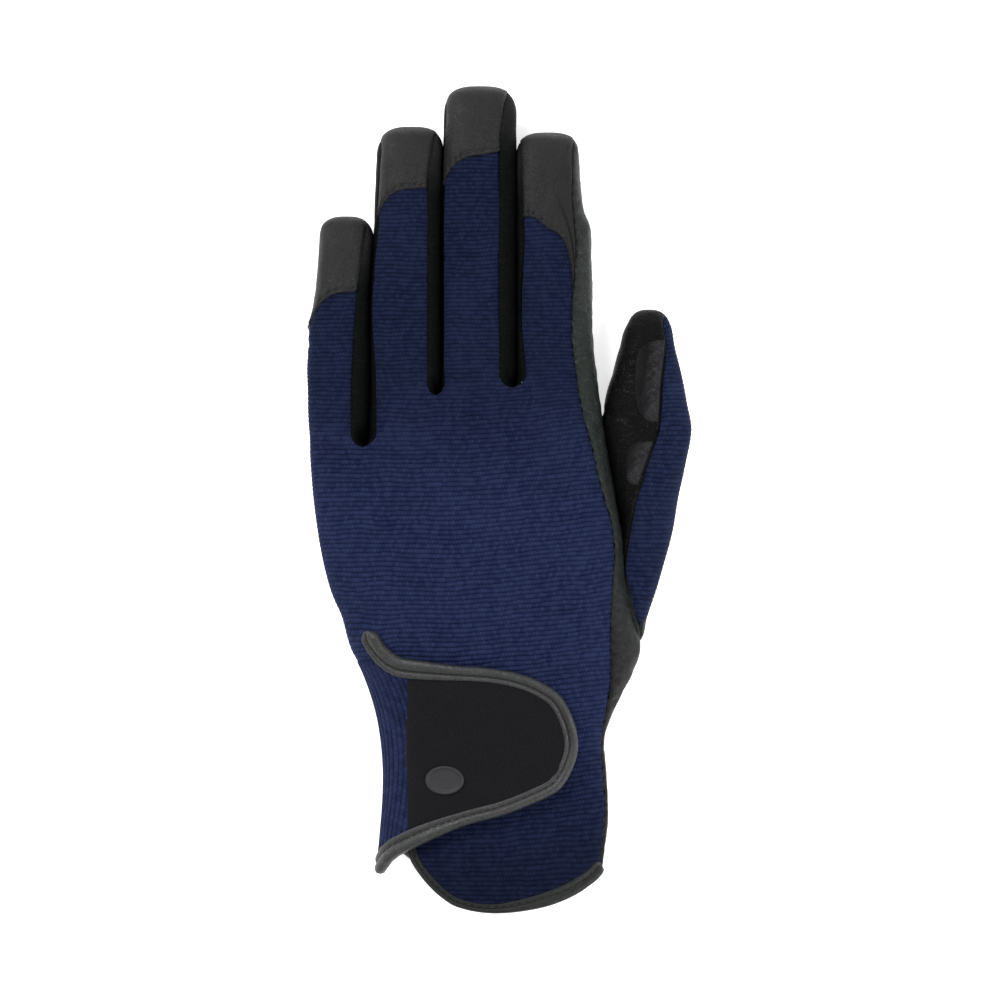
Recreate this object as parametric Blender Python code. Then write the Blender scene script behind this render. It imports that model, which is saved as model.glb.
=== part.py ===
"""A left riding glove with a stretch knit back, a leather palm and a hook-and-loop wrist strap.

It lies palm down: +X is the thumb side, +Y points to the fingertips and +Z is the back of the hand.
Sizes below are in millimetres, and MM turns them into Blender's metres.
Every panel is a sheet with an outer and an inner face, both built on cross sections in the XZ plane.
Fingers are box fingers: a back, a front and two side walls, joined at sewn corners.
"""

import math

import bpy
import bmesh
from mathutils import Vector

MM = 0.001

# Driving dimensions, in millimetres.
SHEET = 1.2            # thickness of leather and of doubled knit
GAP = 0.3              # clearance between neighbouring pieces
PALM_LEVEL = 0.9       # underside of the palm leather, which stands on its patches
PATCH = 0.6            # thickness of a palm patch
WRIST_END = -105.0     # lower hem of the palm side
FLAP_END = -112.3      # lower hem of the wrist flap on the back, without its binding
SLIT_TOP = -41.0       # top of the wrist opening
WIDEST = 0.42          # height of the side seam, as a share of a section's height
CORNERS = (0.95, -0.70, 0.55, 0.70)  # sewn corners in radians from level: thumb side up and down, then the other
SEAM_ANGLE = 0.085     # angle left open at each sewn corner
BINDING_RADIUS = 1.35
HINGE_GAP = 1.6        # how far the front leather stops short of a finger hinge

# Each finger: its base line, middle joint and tip along Y; (y, centre x, width) and (y, height)
# stations; and the y of the cap's seam on its little-finger side and its thumb side.
FINGERS = {
    "little": {
        "base": 15.5, "joint": 43.5, "tip": 79.8,
        "plan": ((15.0, -45.6, 15.8), (28.0, -45.5, 17.0), (46.0, -45.3, 17.1), (58.8, -43.9, 15.2),
                 (72.8, -43.3, 14.2)),
        "height": ((15.0, 13.0), (50.0, 12.6), (80.0, 11.0)),
        "cap": (50.5, 59.0),
    },
    "ring": {
        "base": 29.5, "joint": 62.0, "tip": 105.0,
        "plan": ((15.0, -26.4, 19.6), (28.0, -25.6, 18.6), (56.0, -26.1, 19.6), (78.0, -25.2, 17.8),
                 (98.0, -24.9, 17.2)),
        "height": ((15.0, 15.0), (65.0, 14.0), (105.0, 12.0)),
        "cap": (77.0, 87.0),
    },
    "middle": {
        "base": 32.0, "joint": 68.0, "tip": 116.4,
        "plan": ((15.0, -5.8, 19.6), (84.0, -5.8, 19.6), (109.2, -5.6, 18.9)),
        "height": ((15.0, 16.0), (70.0, 14.6), (116.0, 12.4)),
        "cap": (88.0, 98.0),
    },
    "index": {
        "base": 32.0, "joint": 62.5, "tip": 103.4,
        "plan": ((15.0, 16.8, 22.8), (32.0, 16.3, 22.0), (44.8, 15.5, 21.0), (70.0, 15.2, 20.6),
                 (84.0, 14.0, 18.2), (98.0, 13.5, 17.0)),
        "height": ((15.0, 15.6), (65.0, 14.2), (104.0, 12.0)),
        "cap": (78.0, 74.0),
    },
}
TIP_LENGTH = 8.0       # over which a fingertip closes

# The hand's outline: x of its little-finger side and its thumb side at each y, its height there,
# and the x where the knit back meets the leather on the thumb side.
HAND_LEFT = ((-105.0, -31.4), (-94.1, -30.2), (-77.3, -29.2), (-63.8, -30.4), (-53.8, -33.0),
             (-43.7, -37.4), (-33.6, -43.6), (-23.5, -48.0), (-3.4, -51.8), (16.8, -53.4), (34.0, -53.4))
HAND_RIGHT = ((-105.0, 29.6), (-89.6, 30.6), (-77.3, 30.6), (-67.2, 30.2), (-60.5, 31.4), (-53.8, 34.7),
              (-48.0, 37.2), (-42.0, 38.2), (-37.0, 37.2), (-28.0, 36.2), (-11.2, 34.6), (0.0, 32.4),
              (10.1, 30.6), (23.5, 28.6), (34.0, 27.0))
HAND_HEIGHT = ((-105.0, 17.0), (-80.0, 17.2), (-60.0, 18.4), (-30.0, 21.6), (0.0, 20.6), (34.0, 16.6))
KNIT_EDGE = ((-105.0, 28.0), (-77.3, 28.6), (-67.2, 28.4), (-53.8, 31.0), (-33.6, 31.1),
             (-16.8, 31.2), (-3.4, 29.6), (10.1, 26.4), (23.5, 23.2), (34.0, 21.6))
FORKS = ((14.6, -36.8), (28.8, -16.0), (31.4, 4.6))  # (y, x) of each gap between fingers

# The thumb: (y, left x, right x) and (y, height) stations, and its two hinges along Y.
THUMB_BASE, THUMB_JOINT, THUMB_TIP = -8.0, 20.0, 53.6
THUMB_PLAN = ((-8.0, 36.0, 48.6), (0.0, 33.8, 49.8), (10.0, 31.8, 52.0), (20.0, 29.7, 53.6),
              (28.0, 29.8, 52.4), (35.0, 31.4, 51.2), (43.0, 33.7, 49.2), (50.0, 35.6, 48.2))
THUMB_HEIGHT = ((-8.0, 16.0), (10.0, 17.0), (24.0, 16.0), (40.0, 13.0), (54.0, 10.5))
THUMB_SEAM = ((-8.0, 1.75), (4.0, 1.57), (17.0, 1.36), (27.0, 1.26), (40.0, 1.0), (53.0, 0.85))
ROOT_RIGHT = ((-40.0, 40.0), (-37.0, 41.0), (-23.5, 45.0), (-8.6, 48.8))

# The strap: (x, y) of its upper and lower edges, and where it starts to round off.
STRAP_TOP = ((-41.0, -43.0), (-32.0, -44.6), (-23.0, -46.0), (-8.4, -47.0), (7.8, -48.6), (21.0, -50.5))
STRAP_FOOT = ((-41.0, -101.0), (-30.8, -99.4), (-24.9, -98.0), (-11.5, -92.8), (0.8, -89.0),
              (7.8, -86.0), (21.0, -81.0))
STRAP_END = 21.0
STRAP_ROUND = 15.0
STRAP_SPLIT = -26.6    # where the knit base meets the pad
STRAP_LIFT = 2.3       # underside of the pad above the flap
STRAP_SHEET = 1.4
CLOSURE_SHEET = 0.7    # each half of the hook-and-loop closure

# Each hinge is (the hinge it hangs from, a point on its axis), and carries the pieces that hinge_of gives it.
HINGES = {
    "little_knuckle": (None, (-45.5, 15.5, 2.2)),
    "little_middle_joint": ("little_knuckle", (-45.5, 43.5, 1.3)),
    "ring_knuckle": (None, (-26.0, 29.5, 2.2)),
    "ring_middle_joint": ("ring_knuckle", (-26.0, 62.0, 1.3)),
    "middle_knuckle": (None, (-5.8, 32.0, 2.2)),
    "middle_middle_joint": ("middle_knuckle", (-5.8, 68.0, 1.3)),
    "index_knuckle": (None, (16.0, 32.0, 2.2)),
    "index_middle_joint": ("index_knuckle", (16.0, 62.5, 1.3)),
    "thumb_spread": (None, (49.2, -8.0, 8.0)),
    "thumb_bend": ("thumb_spread", (38.4, 20.0, 16.7)),
    "strap_opening": (None, (-37.4, -72.0, 8.6)),
}

MATERIALS = {
    "knit": ((0.012, 0.018, 0.058), 0.85, 0.0),
    "leather": ((0.030, 0.031, 0.034), 0.52, 0.0),
    "grip": ((0.040, 0.041, 0.046), 0.60, 0.0),
    "pad": ((0.012, 0.012, 0.014), 0.95, 0.0),
    "hook": ((0.010, 0.010, 0.011), 0.70, 0.0),
    "loop": ((0.014, 0.014, 0.016), 0.95, 0.0),
    "binding": ((0.034, 0.036, 0.040), 0.42, 0.0),
}


def clear_scene():
    for obj in list(bpy.data.objects):
        bpy.data.objects.remove(obj)


def material(name):
    """The named Principled material, made once."""
    if name in bpy.data.materials:
        return bpy.data.materials[name]
    colour, roughness, metallic = MATERIALS[name]
    made = bpy.data.materials.new(name)
    made.use_nodes = True
    shader = made.node_tree.nodes["Principled BSDF"]
    shader.inputs["Base Color"].default_value = (*colour, 1.0)
    shader.inputs["Roughness"].default_value = roughness
    shader.inputs["Metallic"].default_value = metallic
    made.diffuse_color = (*colour, 1.0)
    return made


def along(stations, y, column=1):
    """The value of a smooth curve through the stations at y (cubic Hermite, flat past the ends)."""
    if y <= stations[0][0]:
        return stations[0][column]
    if y >= stations[-1][0]:
        return stations[-1][column]
    k = max(i for i in range(len(stations) - 1) if stations[i][0] <= y)

    def slope(i):
        low, high = max(i - 1, 0), min(i + 1, len(stations) - 1)
        return (stations[high][column] - stations[low][column]) / (stations[high][0] - stations[low][0])

    step = stations[k + 1][0] - stations[k][0]
    t = (y - stations[k][0]) / step
    a, b = stations[k][column], stations[k + 1][column]
    return ((2 * t**3 - 3 * t**2 + 1) * a + (t**3 - 2 * t**2 + t) * step * slope(k)
            + (3 * t**2 - 2 * t**3) * b + (t**3 - t**2) * step * slope(k + 1))


def spread(first, last, count):
    """count + 1 evenly spaced values from first to last."""
    return [first + (last - first) * i / count for i in range(count + 1)]


def signed_power(value, power):
    return math.copysign(abs(value) ** power, value)


class Section:
    """A closed outline in the XZ plane: superelliptic above and below its widest level."""

    def __init__(self, y, centre, half_width, floor, height, top=4.0, bottom=4.0):
        self.y, self.centre, self.half_width = y, centre, half_width
        self.floor, self.height, self.top, self.bottom = floor, height, top, bottom
        self.level = floor + WIDEST * height

    def point(self, angle, lift=0.0):
        """The point at this angle from +X, lift millimetres outside the outline."""
        cosine, sine = math.cos(angle), math.sin(angle)
        power = 2 / (self.top if sine >= 0 else self.bottom)
        share = (1 - WIDEST) if sine >= 0 else WIDEST
        x = self.centre + (self.half_width + lift) * signed_power(cosine, power)
        z = self.level + (self.height * share + lift) * signed_power(sine, power)
        return Vector((x, self.y, z))

    def angle_at(self, x, below=False):
        """The angle on the upper half whose point has this x, or on the lower half."""
        share = max(-1.0, min(1.0, (x - self.centre) / self.half_width))
        angle = math.acos(signed_power(share, (self.bottom if below else self.top) / 2))
        return 2 * math.pi - angle if below else angle


def tip_share(y, tip, length, power):
    """How much of a section's size is left this near to a closing tip."""
    t = max(0.0, min(1.0, (y - tip + length) / length))
    return (1 - t**power) ** (1 / power)


def finger_section(finger, y, depth=0.0):
    """A finger's cross section, depth inside its surface. Its underside eases down to the floor."""
    tip = finger["tip"] - depth
    half_width = (along(finger["plan"], y, 2) / 2 - depth) * tip_share(y, tip, TIP_LENGTH, 3.0)
    height = along(finger["height"], y) - 2 * depth
    closed = height * tip_share(y, tip, TIP_LENGTH + 3.0, 2.2)
    ease = max(0.0, min(1.0, (y - finger["base"]) / 15.0))
    floor = depth + PALM_LEVEL * (1 - ease * ease * (3 - 2 * ease)) + (height - closed) * WIDEST
    return Section(y, along(finger["plan"], y), half_width, floor, closed)


def hand_section(y, depth=0.0):
    """The hand's cross section: domed above, flat below, and boxier towards the fingers."""
    left, right = along(HAND_LEFT, y) + depth, along(HAND_RIGHT, y) - depth
    boxy = max(0.0, min(1.0, (y + 40.0) / 70.0))
    return Section(y, (left + right) / 2, (right - left) / 2, PALM_LEVEL + depth,
                   along(HAND_HEIGHT, y) - 2 * depth, top=2.5 + 1.5 * boxy, bottom=6.0)


def thumb_section(y, depth=0.0):
    left, right = along(THUMB_PLAN, y, 1) + depth, along(THUMB_PLAN, y, 2) - depth
    share = tip_share(y, THUMB_TIP - depth, 8.0, 2.6)
    height = along(THUMB_HEIGHT, y) - 2 * depth
    return Section(y, (left + right) / 2, (right - left) / 2 * share,
                   depth + (1 - share) * height * WIDEST, height * share, top=2.5, bottom=2.8)


def root_section(y, depth=0.0):
    """The base of the thumb, which swells out beyond the hand's thumb side."""
    inner = along(HAND_RIGHT, y) + 0.8
    height = 15.0 - 4.0 * max(0.0, (-25.0 - y) / 15.0)
    return Section(y, inner, along(ROOT_RIGHT, y) - inner - depth, PALM_LEVEL + depth, height - 2 * depth,
                   top=2.4, bottom=3.0)


def panel(name, outer, inner, fabric, keep=None, wrap=False, closed_end=False):
    """A closed sheet between two grids of points that have the same rows and columns.

    keep(row, column) says which cells exist, wrap joins the last column to the first, and
    closed_end fills the last row's ring.
    """
    rows, columns = len(outer), len(outer[0])
    cells = []
    for j in range(rows - 1):
        for i in range(columns if wrap else columns - 1):
            if keep is None or keep(j, i):
                right = (i + 1) % columns
                cells.append(((j, i), (j, right), (j + 1, right), (j + 1, i)))
    if closed_end:
        cells.append(tuple((rows - 1, i) for i in range(columns)))
    mesh = bmesh.new()
    corners = {}
    for cell in cells:
        for j, i in cell:
            if (j, i) not in corners:
                corners[j, i] = [mesh.verts.new(grid[j][i] * MM) for grid in (outer, inner)]
    edges = set()
    for cell in cells:
        mesh.faces.new([corners[c][0] for c in cell])
        mesh.faces.new([corners[c][1] for c in reversed(cell)])
        for a, b in zip(cell, cell[1:] + cell[:1]):
            if (b, a) in edges:
                edges.remove((b, a))
            else:
                edges.add((a, b))
    for a, b in sorted(edges):
        mesh.faces.new((corners[b][0], corners[a][0], corners[a][1], corners[b][1]))
    if mesh.calc_volume(signed=True) < 0:
        bmesh.ops.reverse_faces(mesh, faces=mesh.faces)
    return add_object(name, mesh, fabric)


def add_object(name, mesh, fabric):
    data = bpy.data.meshes.new(name)
    mesh.to_mesh(data)
    mesh.free()
    data.materials.append(material(fabric))
    obj = bpy.data.objects.new(name, data)
    bpy.context.scene.collection.objects.link(obj)
    return obj


def sector(name, section_at, ys, first, last, cells, fabric, lift=0.0, thickness=SHEET):
    """A panel from angle first to angle last, either of which may be a function of y."""
    grids = []
    for depth in (-lift, thickness - lift):
        rows = []
        for y in ys:
            section = section_at(y, depth)
            start = first(y) if callable(first) else first
            end = last(y) if callable(last) else last
            rows.append([section.point(angle) for angle in spread(start, end, cells)])
        grids.append(rows)
    return panel(name, *grids, fabric)


def finger_walls(name):
    """The four sectors of a box finger as {suffix: (first angle, last angle, cells, fabric)}."""
    half = SEAM_ANGLE / 2
    turn = math.pi
    right_up, right_down, left_up, left_down = CORNERS
    return {
        "back": (right_up + half, turn - left_up - half, 5, "knit"),
        "front": (turn + left_down + half, 2 * turn + right_down - half, 4, "leather"),
        "fourchette_right": (right_down + half, right_up - half, 4, "leather"),
        "fourchette_left": (turn - left_up + half, turn + left_down - half, 3,
                            "knit" if name == "little" else "leather"),
    }


def wall_name(finger, suffix, half):
    """Outer walls are not fourchettes: the little finger's is knit, the index finger's is palm leather."""
    if finger == "little" and suffix == "fourchette_left":
        suffix = "outer_side"
    if finger == "index" and suffix == "fourchette_right":
        suffix = "side_wrap"
    return f"{finger}_{suffix}_{half}"


def finger_parts(name):
    """One finger: four walls below its middle joint, four above it, and the leather cap."""
    finger = FINGERS[name]
    cap_left, cap_right = finger["cap"]
    cap_ring = finger["tip"] - 6.0

    def section_at(y, depth=0.0):
        return finger_section(finger, y, depth)

    for suffix, (first, last, cells, fabric) in finger_walls(name).items():
        below = HINGE_GAP if suffix == "front" else GAP
        lower = spread(finger["base"] + below, finger["joint"] - below, 4)
        sector(wall_name(name, suffix, "lower"), section_at, lower, first, last, cells, fabric)
        upper = spread(finger["joint"] + below, cap_ring - GAP, 4)
        if suffix != "back":
            sector(wall_name(name, suffix, "upper"), section_at, upper, first, last, cells, fabric)
    first, last, cells, _ = finger_walls(name)["back"]
    angles = spread(first, last, cells)
    seams = spread(cap_right, cap_left, cells)
    grids = []
    for depth in (0.0, SHEET):
        columns = [[section_at(y, depth).point(angle)
                    for y in spread(finger["joint"] + GAP, seam - GAP / 2, 4)]
                   for angle, seam in zip(angles, seams)]
        grids.append([list(row) for row in zip(*columns)])
    panel(wall_name(name, "back", "upper"), *grids, "knit")
    finger_cap(name, section_at, angles, seams, cap_ring)


def finger_cap(name, section_at, back_angles, seams, cap_ring):
    """The leather over the fingertip: a closed end, and a tongue down the back to the slanted seam."""
    tip = FINGERS[name]["tip"]
    back_cells = len(back_angles) - 1
    around = spread(back_angles[-1], back_angles[0] + 2 * math.pi, 9)[1:-1]
    angles = back_angles + around
    starts = [seam + GAP / 2 for seam in seams] + [cap_ring] * len(around)
    tongue_rows = 4
    grids = []
    for depth in (0.0, SHEET):
        columns = []
        for angle, start in zip(angles, starts):
            ys = spread(start, cap_ring, tongue_rows)[:-1]
            for y in (cap_ring, tip - 3.0, tip - 1.2, tip - 0.1):
                ys.append(y - depth * (y - cap_ring) / (tip - cap_ring))
            columns.append([section_at(y, depth).point(angle) for y in ys])
        grids.append([list(row) for row in zip(*columns)])
    panel(f"{name}_cap", *grids, "leather", keep=lambda j, i: j >= tongue_rows or i < back_cells,
          wrap=True, closed_end=True)


def hand_angle(y, x):
    return hand_section(y).angle_at(x)


def fork_lines(y):
    """x of the three lines that part the four finger columns, at this y."""
    lines = []
    names = list(FINGERS)
    for k, (fork_y, fork_x) in enumerate(FORKS):
        right = FINGERS[names[k + 1]]
        edge = along(right["plan"], y, 1) - along(right["plan"], y, 2) / 2
        lines.append(fork_x if y <= fork_y + 0.1 else edge)
    return lines


COLUMN_CELLS = (4, 3, 3, 3)


def row_levels(inset):
    """Rows of the hand's grids: closer together near the forks, and one inset from each finger's base."""
    bases = [FINGERS[name]["base"] for name in ("little", "ring", "middle")]
    return spread(SLIT_TOP, 12.6, 6) + [bases[0] - inset, 18.5, 24.0, bases[1] - inset, bases[2] - inset]


def column_kept(j, i, levels):
    """Whether a cell lies below its finger's base line."""
    column = next(n for n in range(4) if i < sum(COLUMN_CELLS[:n + 1]))
    base = [finger["base"] for finger in FINGERS.values()][column]
    return levels[j + 1] < base


def hand_row(y, depth, first_angle, last_angle, below=False):
    """Points across the hand from the little-finger side to the thumb side, split at the fork lines."""
    outer = hand_section(y)
    even = max(0.0, min(1.0, -y / 40.0))
    anchors = [first_angle]
    for k, x in enumerate(fork_lines(y)):
        share = sum(COLUMN_CELLS[:k + 1]) / sum(COLUMN_CELLS)
        anchors.append(even * (first_angle + (last_angle - first_angle) * share)
                       + (1 - even) * outer.angle_at(x, below))
    anchors.append(last_angle)
    angles = [first_angle]
    for k, cells in enumerate(COLUMN_CELLS):
        angles += spread(anchors[k], anchors[k + 1], cells)[1:]
    return [hand_section(y, depth).point(angle) for angle in angles]


def flap_left(y):
    """x of the wrist flap's free edge on the little-finger side."""
    return along(((-111.0, -13.0), (-104.0, -20.0), (-92.0, -24.0), (-70.0, -25.4), (-50.0, -30.5),
                  (-41.0, -36.0)), y)


def flap_right(y):
    """x of the flap's edge on the thumb side, rounded off at the hem."""
    return along(KNIT_EDGE, y) - 7.0 * max(0.0, (-106.0 - y) / 6.3) ** 2


def back_panel():
    """The knit back of the hand with its wrist flap, one piece."""
    levels = spread(FLAP_END, WRIST_END, 3)[:-1] + spread(WRIST_END, SLIT_TOP, 7)[:-1] + row_levels(GAP)
    grids = []
    for depth in (0.0, SHEET):
        rows = []
        for y in levels:
            ease = max(0.0, min(1.0, (y - SLIT_TOP) / 6.0))
            edge = hand_angle(y, flap_left(min(y, SLIT_TOP)))
            left = edge + (math.pi + 0.10 - edge) * ease
            rows.append(hand_row(y, depth, left, hand_angle(y, flap_right(y))))
        grids.append(rows)
    panel("back_panel", *grids, "knit", keep=lambda j, i: column_kept(j, i, levels))


def palm_panel():
    """The leather palm, from the little-finger side seam to the thumb."""
    levels = spread(WRIST_END, SLIT_TOP, 6)[:-1] + row_levels(HINGE_GAP)
    grids = []
    for depth in (0.0, SHEET):
        rows = []
        for y in levels:
            right = hand_section(y).angle_at(along(HAND_RIGHT, y) - 3.2, below=True)
            rows.append(hand_row(y, depth, math.pi + 0.16, right, below=True))
        grids.append(rows)
    panel("palm_panel", *grids, "leather", keep=lambda j, i: column_kept(j, i, levels))


def radial_side():
    """The strip of palm leather that wraps up to the knit on the thumb side."""
    ys = spread(WRIST_END, FINGERS["index"]["base"] - GAP, 20)

    def upper(y):
        return hand_angle(y, along(KNIT_EDGE, y) + 0.5)

    def lower(y):
        beside_root = THUMB_BASE > y > ROOT_RIGHT[0][0]
        edge = hand_section(y).angle_at(along(HAND_RIGHT, y) - 2.6, below=True)
        return 0.10 if beside_root else edge - 2 * math.pi

    sector("thumb_side_strip", hand_section, ys, upper, lower, 4, "leather")


def thumb_root():
    """The leather that carries the palm out round the base of the thumb."""
    ys = spread(ROOT_RIGHT[0][0], THUMB_BASE - GAP, 6)
    sector("thumb_root", root_section, ys, 1.35, -1.35, 6, "leather")


def fork_gussets():
    """The leather that closes the hand between two fingers and joins their fourchettes."""
    names = list(FINGERS)
    for k, (fork_y, _) in enumerate(FORKS):
        left, right = FINGERS[names[k]], FINGERS[names[k + 1]]
        start = along(left["plan"], left["base"], 1) + along(left["plan"], left["base"], 2) / 2 - 2.4
        end = along(right["plan"], right["base"], 1) - along(right["plan"], right["base"], 2) / 2 + GAP
        far = right["base"] - GAP
        low = PALM_LEVEL + SHEET + GAP
        top = hand_section(far).point(hand_angle(far, end + 0.5)).z - SHEET - GAP
        outer = [(start, fork_y - 0.2), (end, fork_y - 0.2)]
        inner = [(start, fork_y - 0.2 - SHEET), (end + SHEET, fork_y - 0.2 - SHEET)]
        if far - fork_y > 3.0:
            outer.append((end, far))
            inner.append((end + SHEET, far))
        grids = [[[Vector((x, y, z)) for x, y in line] for z in spread(low, top, 2)]
                 for line in (outer, inner)]
        panel(f"fork_gusset_{names[k]}_{names[k + 1]}", *grids, "leather")


def thumb_parts():
    """The thumb: knit back and leather front below and above its joint, with grip patches."""
    front_last = 2 * math.pi - 2.1

    def front_first(y):
        return along(THUMB_SEAM, y) + 0.03

    def back_last(y):
        return along(THUMB_SEAM, y) - 0.03

    halves = {"lower": spread(THUMB_BASE + GAP, THUMB_JOINT - GAP, 4),
              "upper": spread(THUMB_JOINT + GAP, THUMB_TIP - 6.3, 4)}
    for half, ys in halves.items():
        sector(f"thumb_front_{half}", thumb_section, ys, front_first, front_last - 0.03, 7, "leather")
        sector(f"thumb_back_{half}", thumb_section, ys, front_last + 0.03 - 2 * math.pi, back_last, 7, "knit")
    angles = spread(0.0, 2 * math.pi, 14)[:-1]
    ring = THUMB_TIP - 6.0
    grids = []
    for depth in (0.0, SHEET):
        ys = [y - depth * (y - ring) / (THUMB_TIP - ring) for y in
              (ring, THUMB_TIP - 3.6, THUMB_TIP - 1.6, THUMB_TIP - 0.1)]
        grids.append([[thumb_section(y, depth).point(angle) for angle in angles] for y in ys])
    panel("thumb_cap", *grids, "leather", wrap=True, closed_end=True)
    patches = {"lower": (4.0, 16.5, 1.95, 2.75), "upper": (22.5, 45.0, 1.55, 2.75)}
    for half, (low, high, first, last) in patches.items():
        sector(f"thumb_grip_patch_{half}", thumb_section, spread(low, high, 4), first, last, 4, "grip",
               lift=GAP + PATCH, thickness=PATCH)


def palm_patch(name, centre, half_size, bottom_share=1.0):
    """A flat patch with a superelliptic outline under the palm. bottom_share narrows its wrist end."""
    corners = 28
    mesh = bmesh.new()
    ring = []
    for k in range(corners):
        angle = 2 * math.pi * k / corners
        x = half_size[0] * signed_power(math.cos(angle), 0.6)
        y = half_size[1] * signed_power(math.sin(angle), 0.6)
        narrow = bottom_share + (1 - bottom_share) * (y / half_size[1] + 1) / 2
        ring.append(mesh.verts.new(Vector((centre[0] + x * narrow, centre[1] + y, 0.0)) * MM))
    face = mesh.faces.new(ring)
    made = bmesh.ops.extrude_face_region(mesh, geom=[face])
    bmesh.ops.translate(mesh, vec=(0, 0, PATCH * MM),
                        verts=[v for v in made["geom"] if isinstance(v, bmesh.types.BMVert)])
    bmesh.ops.recalc_face_normals(mesh, faces=mesh.faces)
    add_object(name, mesh, "grip")


def strap_edges(x):
    """y of the strap's lower and upper edge at x, with its free end rounded off."""
    top, foot = along(STRAP_TOP, x), along(STRAP_FOOT, x)
    t = max(0.0, (x - STRAP_END + STRAP_ROUND) / STRAP_ROUND)
    share = (1 - min(t, 0.985) ** 2.4) ** (1 / 2.4)
    middle, half = (top + foot) / 2, (top - foot) / 2
    return middle - half * share, middle + half * share


def strap_stations(first_x, straight, round_cells):
    """x positions along the strap, closer together round its end."""
    start = STRAP_END - STRAP_ROUND
    return spread(first_x, start, straight) + [
        start + STRAP_ROUND * 0.985 * math.sin(math.pi / 2 * k / round_cells)
        for k in range(1, round_cells + 1)]


def offset_path(path, offset):
    """The (x, y) path moved offset millimetres to its left."""
    moved = []
    for k, (x, y) in enumerate(path):
        before, after = path[max(k - 1, 0)], path[min(k + 1, len(path) - 1)]
        dx, dy = after[0] - before[0], after[1] - before[1]
        length = math.hypot(dx, dy)
        moved.append((x - dy / length * offset, y + dx / length * offset))
    return moved


def over_wrist(x, y, lift):
    """A point lift millimetres above the back of the wrist. Past its side it follows the seam down."""
    section = hand_section(y)
    return section.point(section.angle_at(x), lift)


def strap_panel(name, xs, lift, thickness, fabric, inset=0.0):
    """A panel of the strap, its edges inset from the strap's own."""
    grids = []
    for height in (lift, lift - thickness):
        rows = []
        for x in xs:
            low, high = strap_edges(x)
            rows.append([over_wrist(x, y, height) for y in spread(low + inset, high - inset, 6)])
        grids.append(rows)
    panel(name, *grids, fabric)


def strap_base(lift):
    """The knit base, from the side seam up over the wrist to where the pad starts."""
    grids = []
    for height in (lift, lift - STRAP_SHEET):
        rows = []
        for share in spread(0.0, 1.0, 5):
            low, high = strap_edges(STRAP_SPLIT - 6.0 * (1 - share))
            row = []
            for y in spread(low, high, 6):
                section = hand_section(y)
                start, end = math.pi - 0.03, section.angle_at(STRAP_SPLIT - GAP)
                row.append(section.point(start + (end - start) * share, height))
            rows.append(row)
        grids.append(rows)
    panel("strap_base", *grids, "knit")


def strap():
    """The wrist strap with its binding, and the two halves of the closure."""
    top = STRAP_LIFT + STRAP_SHEET
    strap_base(top)
    strap_panel("strap_pad", strap_stations(STRAP_SPLIT, 8, 6), top, STRAP_SHEET, "pad")
    strap_panel("hook_patch", spread(-8.0, STRAP_END - 5.5, 7), STRAP_LIFT - GAP, CLOSURE_SHEET, "hook",
                inset=4.0)
    strap_panel("loop_patch", spread(-16.0, STRAP_END - 5.5, 8), GAP + CLOSURE_SHEET, CLOSURE_SHEET, "loop",
                inset=5.0)
    upper = [(x, strap_edges(x)[1]) for x in strap_stations(-33.0, 7, 7)]
    foot = [(x, strap_edges(x)[0]) for x in reversed(strap_stations(-26.0, 7, 7))]
    path = offset_path(upper + foot, BINDING_RADIUS + GAP)
    binding("strap_binding", [over_wrist(x, y, STRAP_LIFT + STRAP_SHEET / 2) for x, y in path])


def binding(name, points, radius=BINDING_RADIUS):
    """A folded edge binding: a round cord of leather along the points."""
    data = bpy.data.curves.new(name, "CURVE")
    data.dimensions = "3D"
    data.bevel_depth = radius * MM
    data.bevel_resolution = 1
    data.use_fill_caps = True
    spline = data.splines.new("POLY")
    spline.points.add(len(points) - 1)
    for point, target in zip(spline.points, points):
        point.co = (*(target * MM), 1.0)
    data.materials.append(material("binding"))
    bpy.context.scene.collection.objects.link(bpy.data.objects.new(name, data))


def hem_bindings():
    """The bindings of the wrist flap's free edge and of the palm side's hem."""
    clear = BINDING_RADIUS + GAP
    left = [(flap_left(y), y) for y in spread(-46.0, FLAP_END, 14)]
    right = [(flap_right(y), y) for y in spread(FLAP_END, WRIST_END - 2.0, 4)]
    hem = [(x, FLAP_END) for x in spread(left[-1][0], right[0][0], 9)[1:-1]]
    path = offset_path(left + hem + right, -clear)
    binding("flap_binding", [over_wrist(x, y, -SHEET / 2) for x, y in path])
    section = hand_section(WRIST_END)
    palm = []
    for angle in spread(math.pi + 0.16, 2 * math.pi - 0.10, 20):
        point = section.point(angle, -SHEET / 2)
        point.y = WRIST_END - clear
        point.z = max(point.z, BINDING_RADIUS + 0.05)
        palm.append(point)
    binding("palm_hem_binding", palm)


def hinge_of(name):
    """The hinge that an object turns on, or None for the pieces of the hand."""
    if name in ("strap_base", "strap_pad", "hook_patch", "strap_binding"):
        return "strap_opening"
    first_word, last_word = name.split("_")[0], name.split("_")[-1]
    if last_word not in ("lower", "upper", "cap"):
        return None
    if first_word == "thumb":
        return "thumb_spread" if last_word == "lower" else "thumb_bend"
    return first_word + ("_knuckle" if last_word == "lower" else "_middle_joint")


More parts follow.
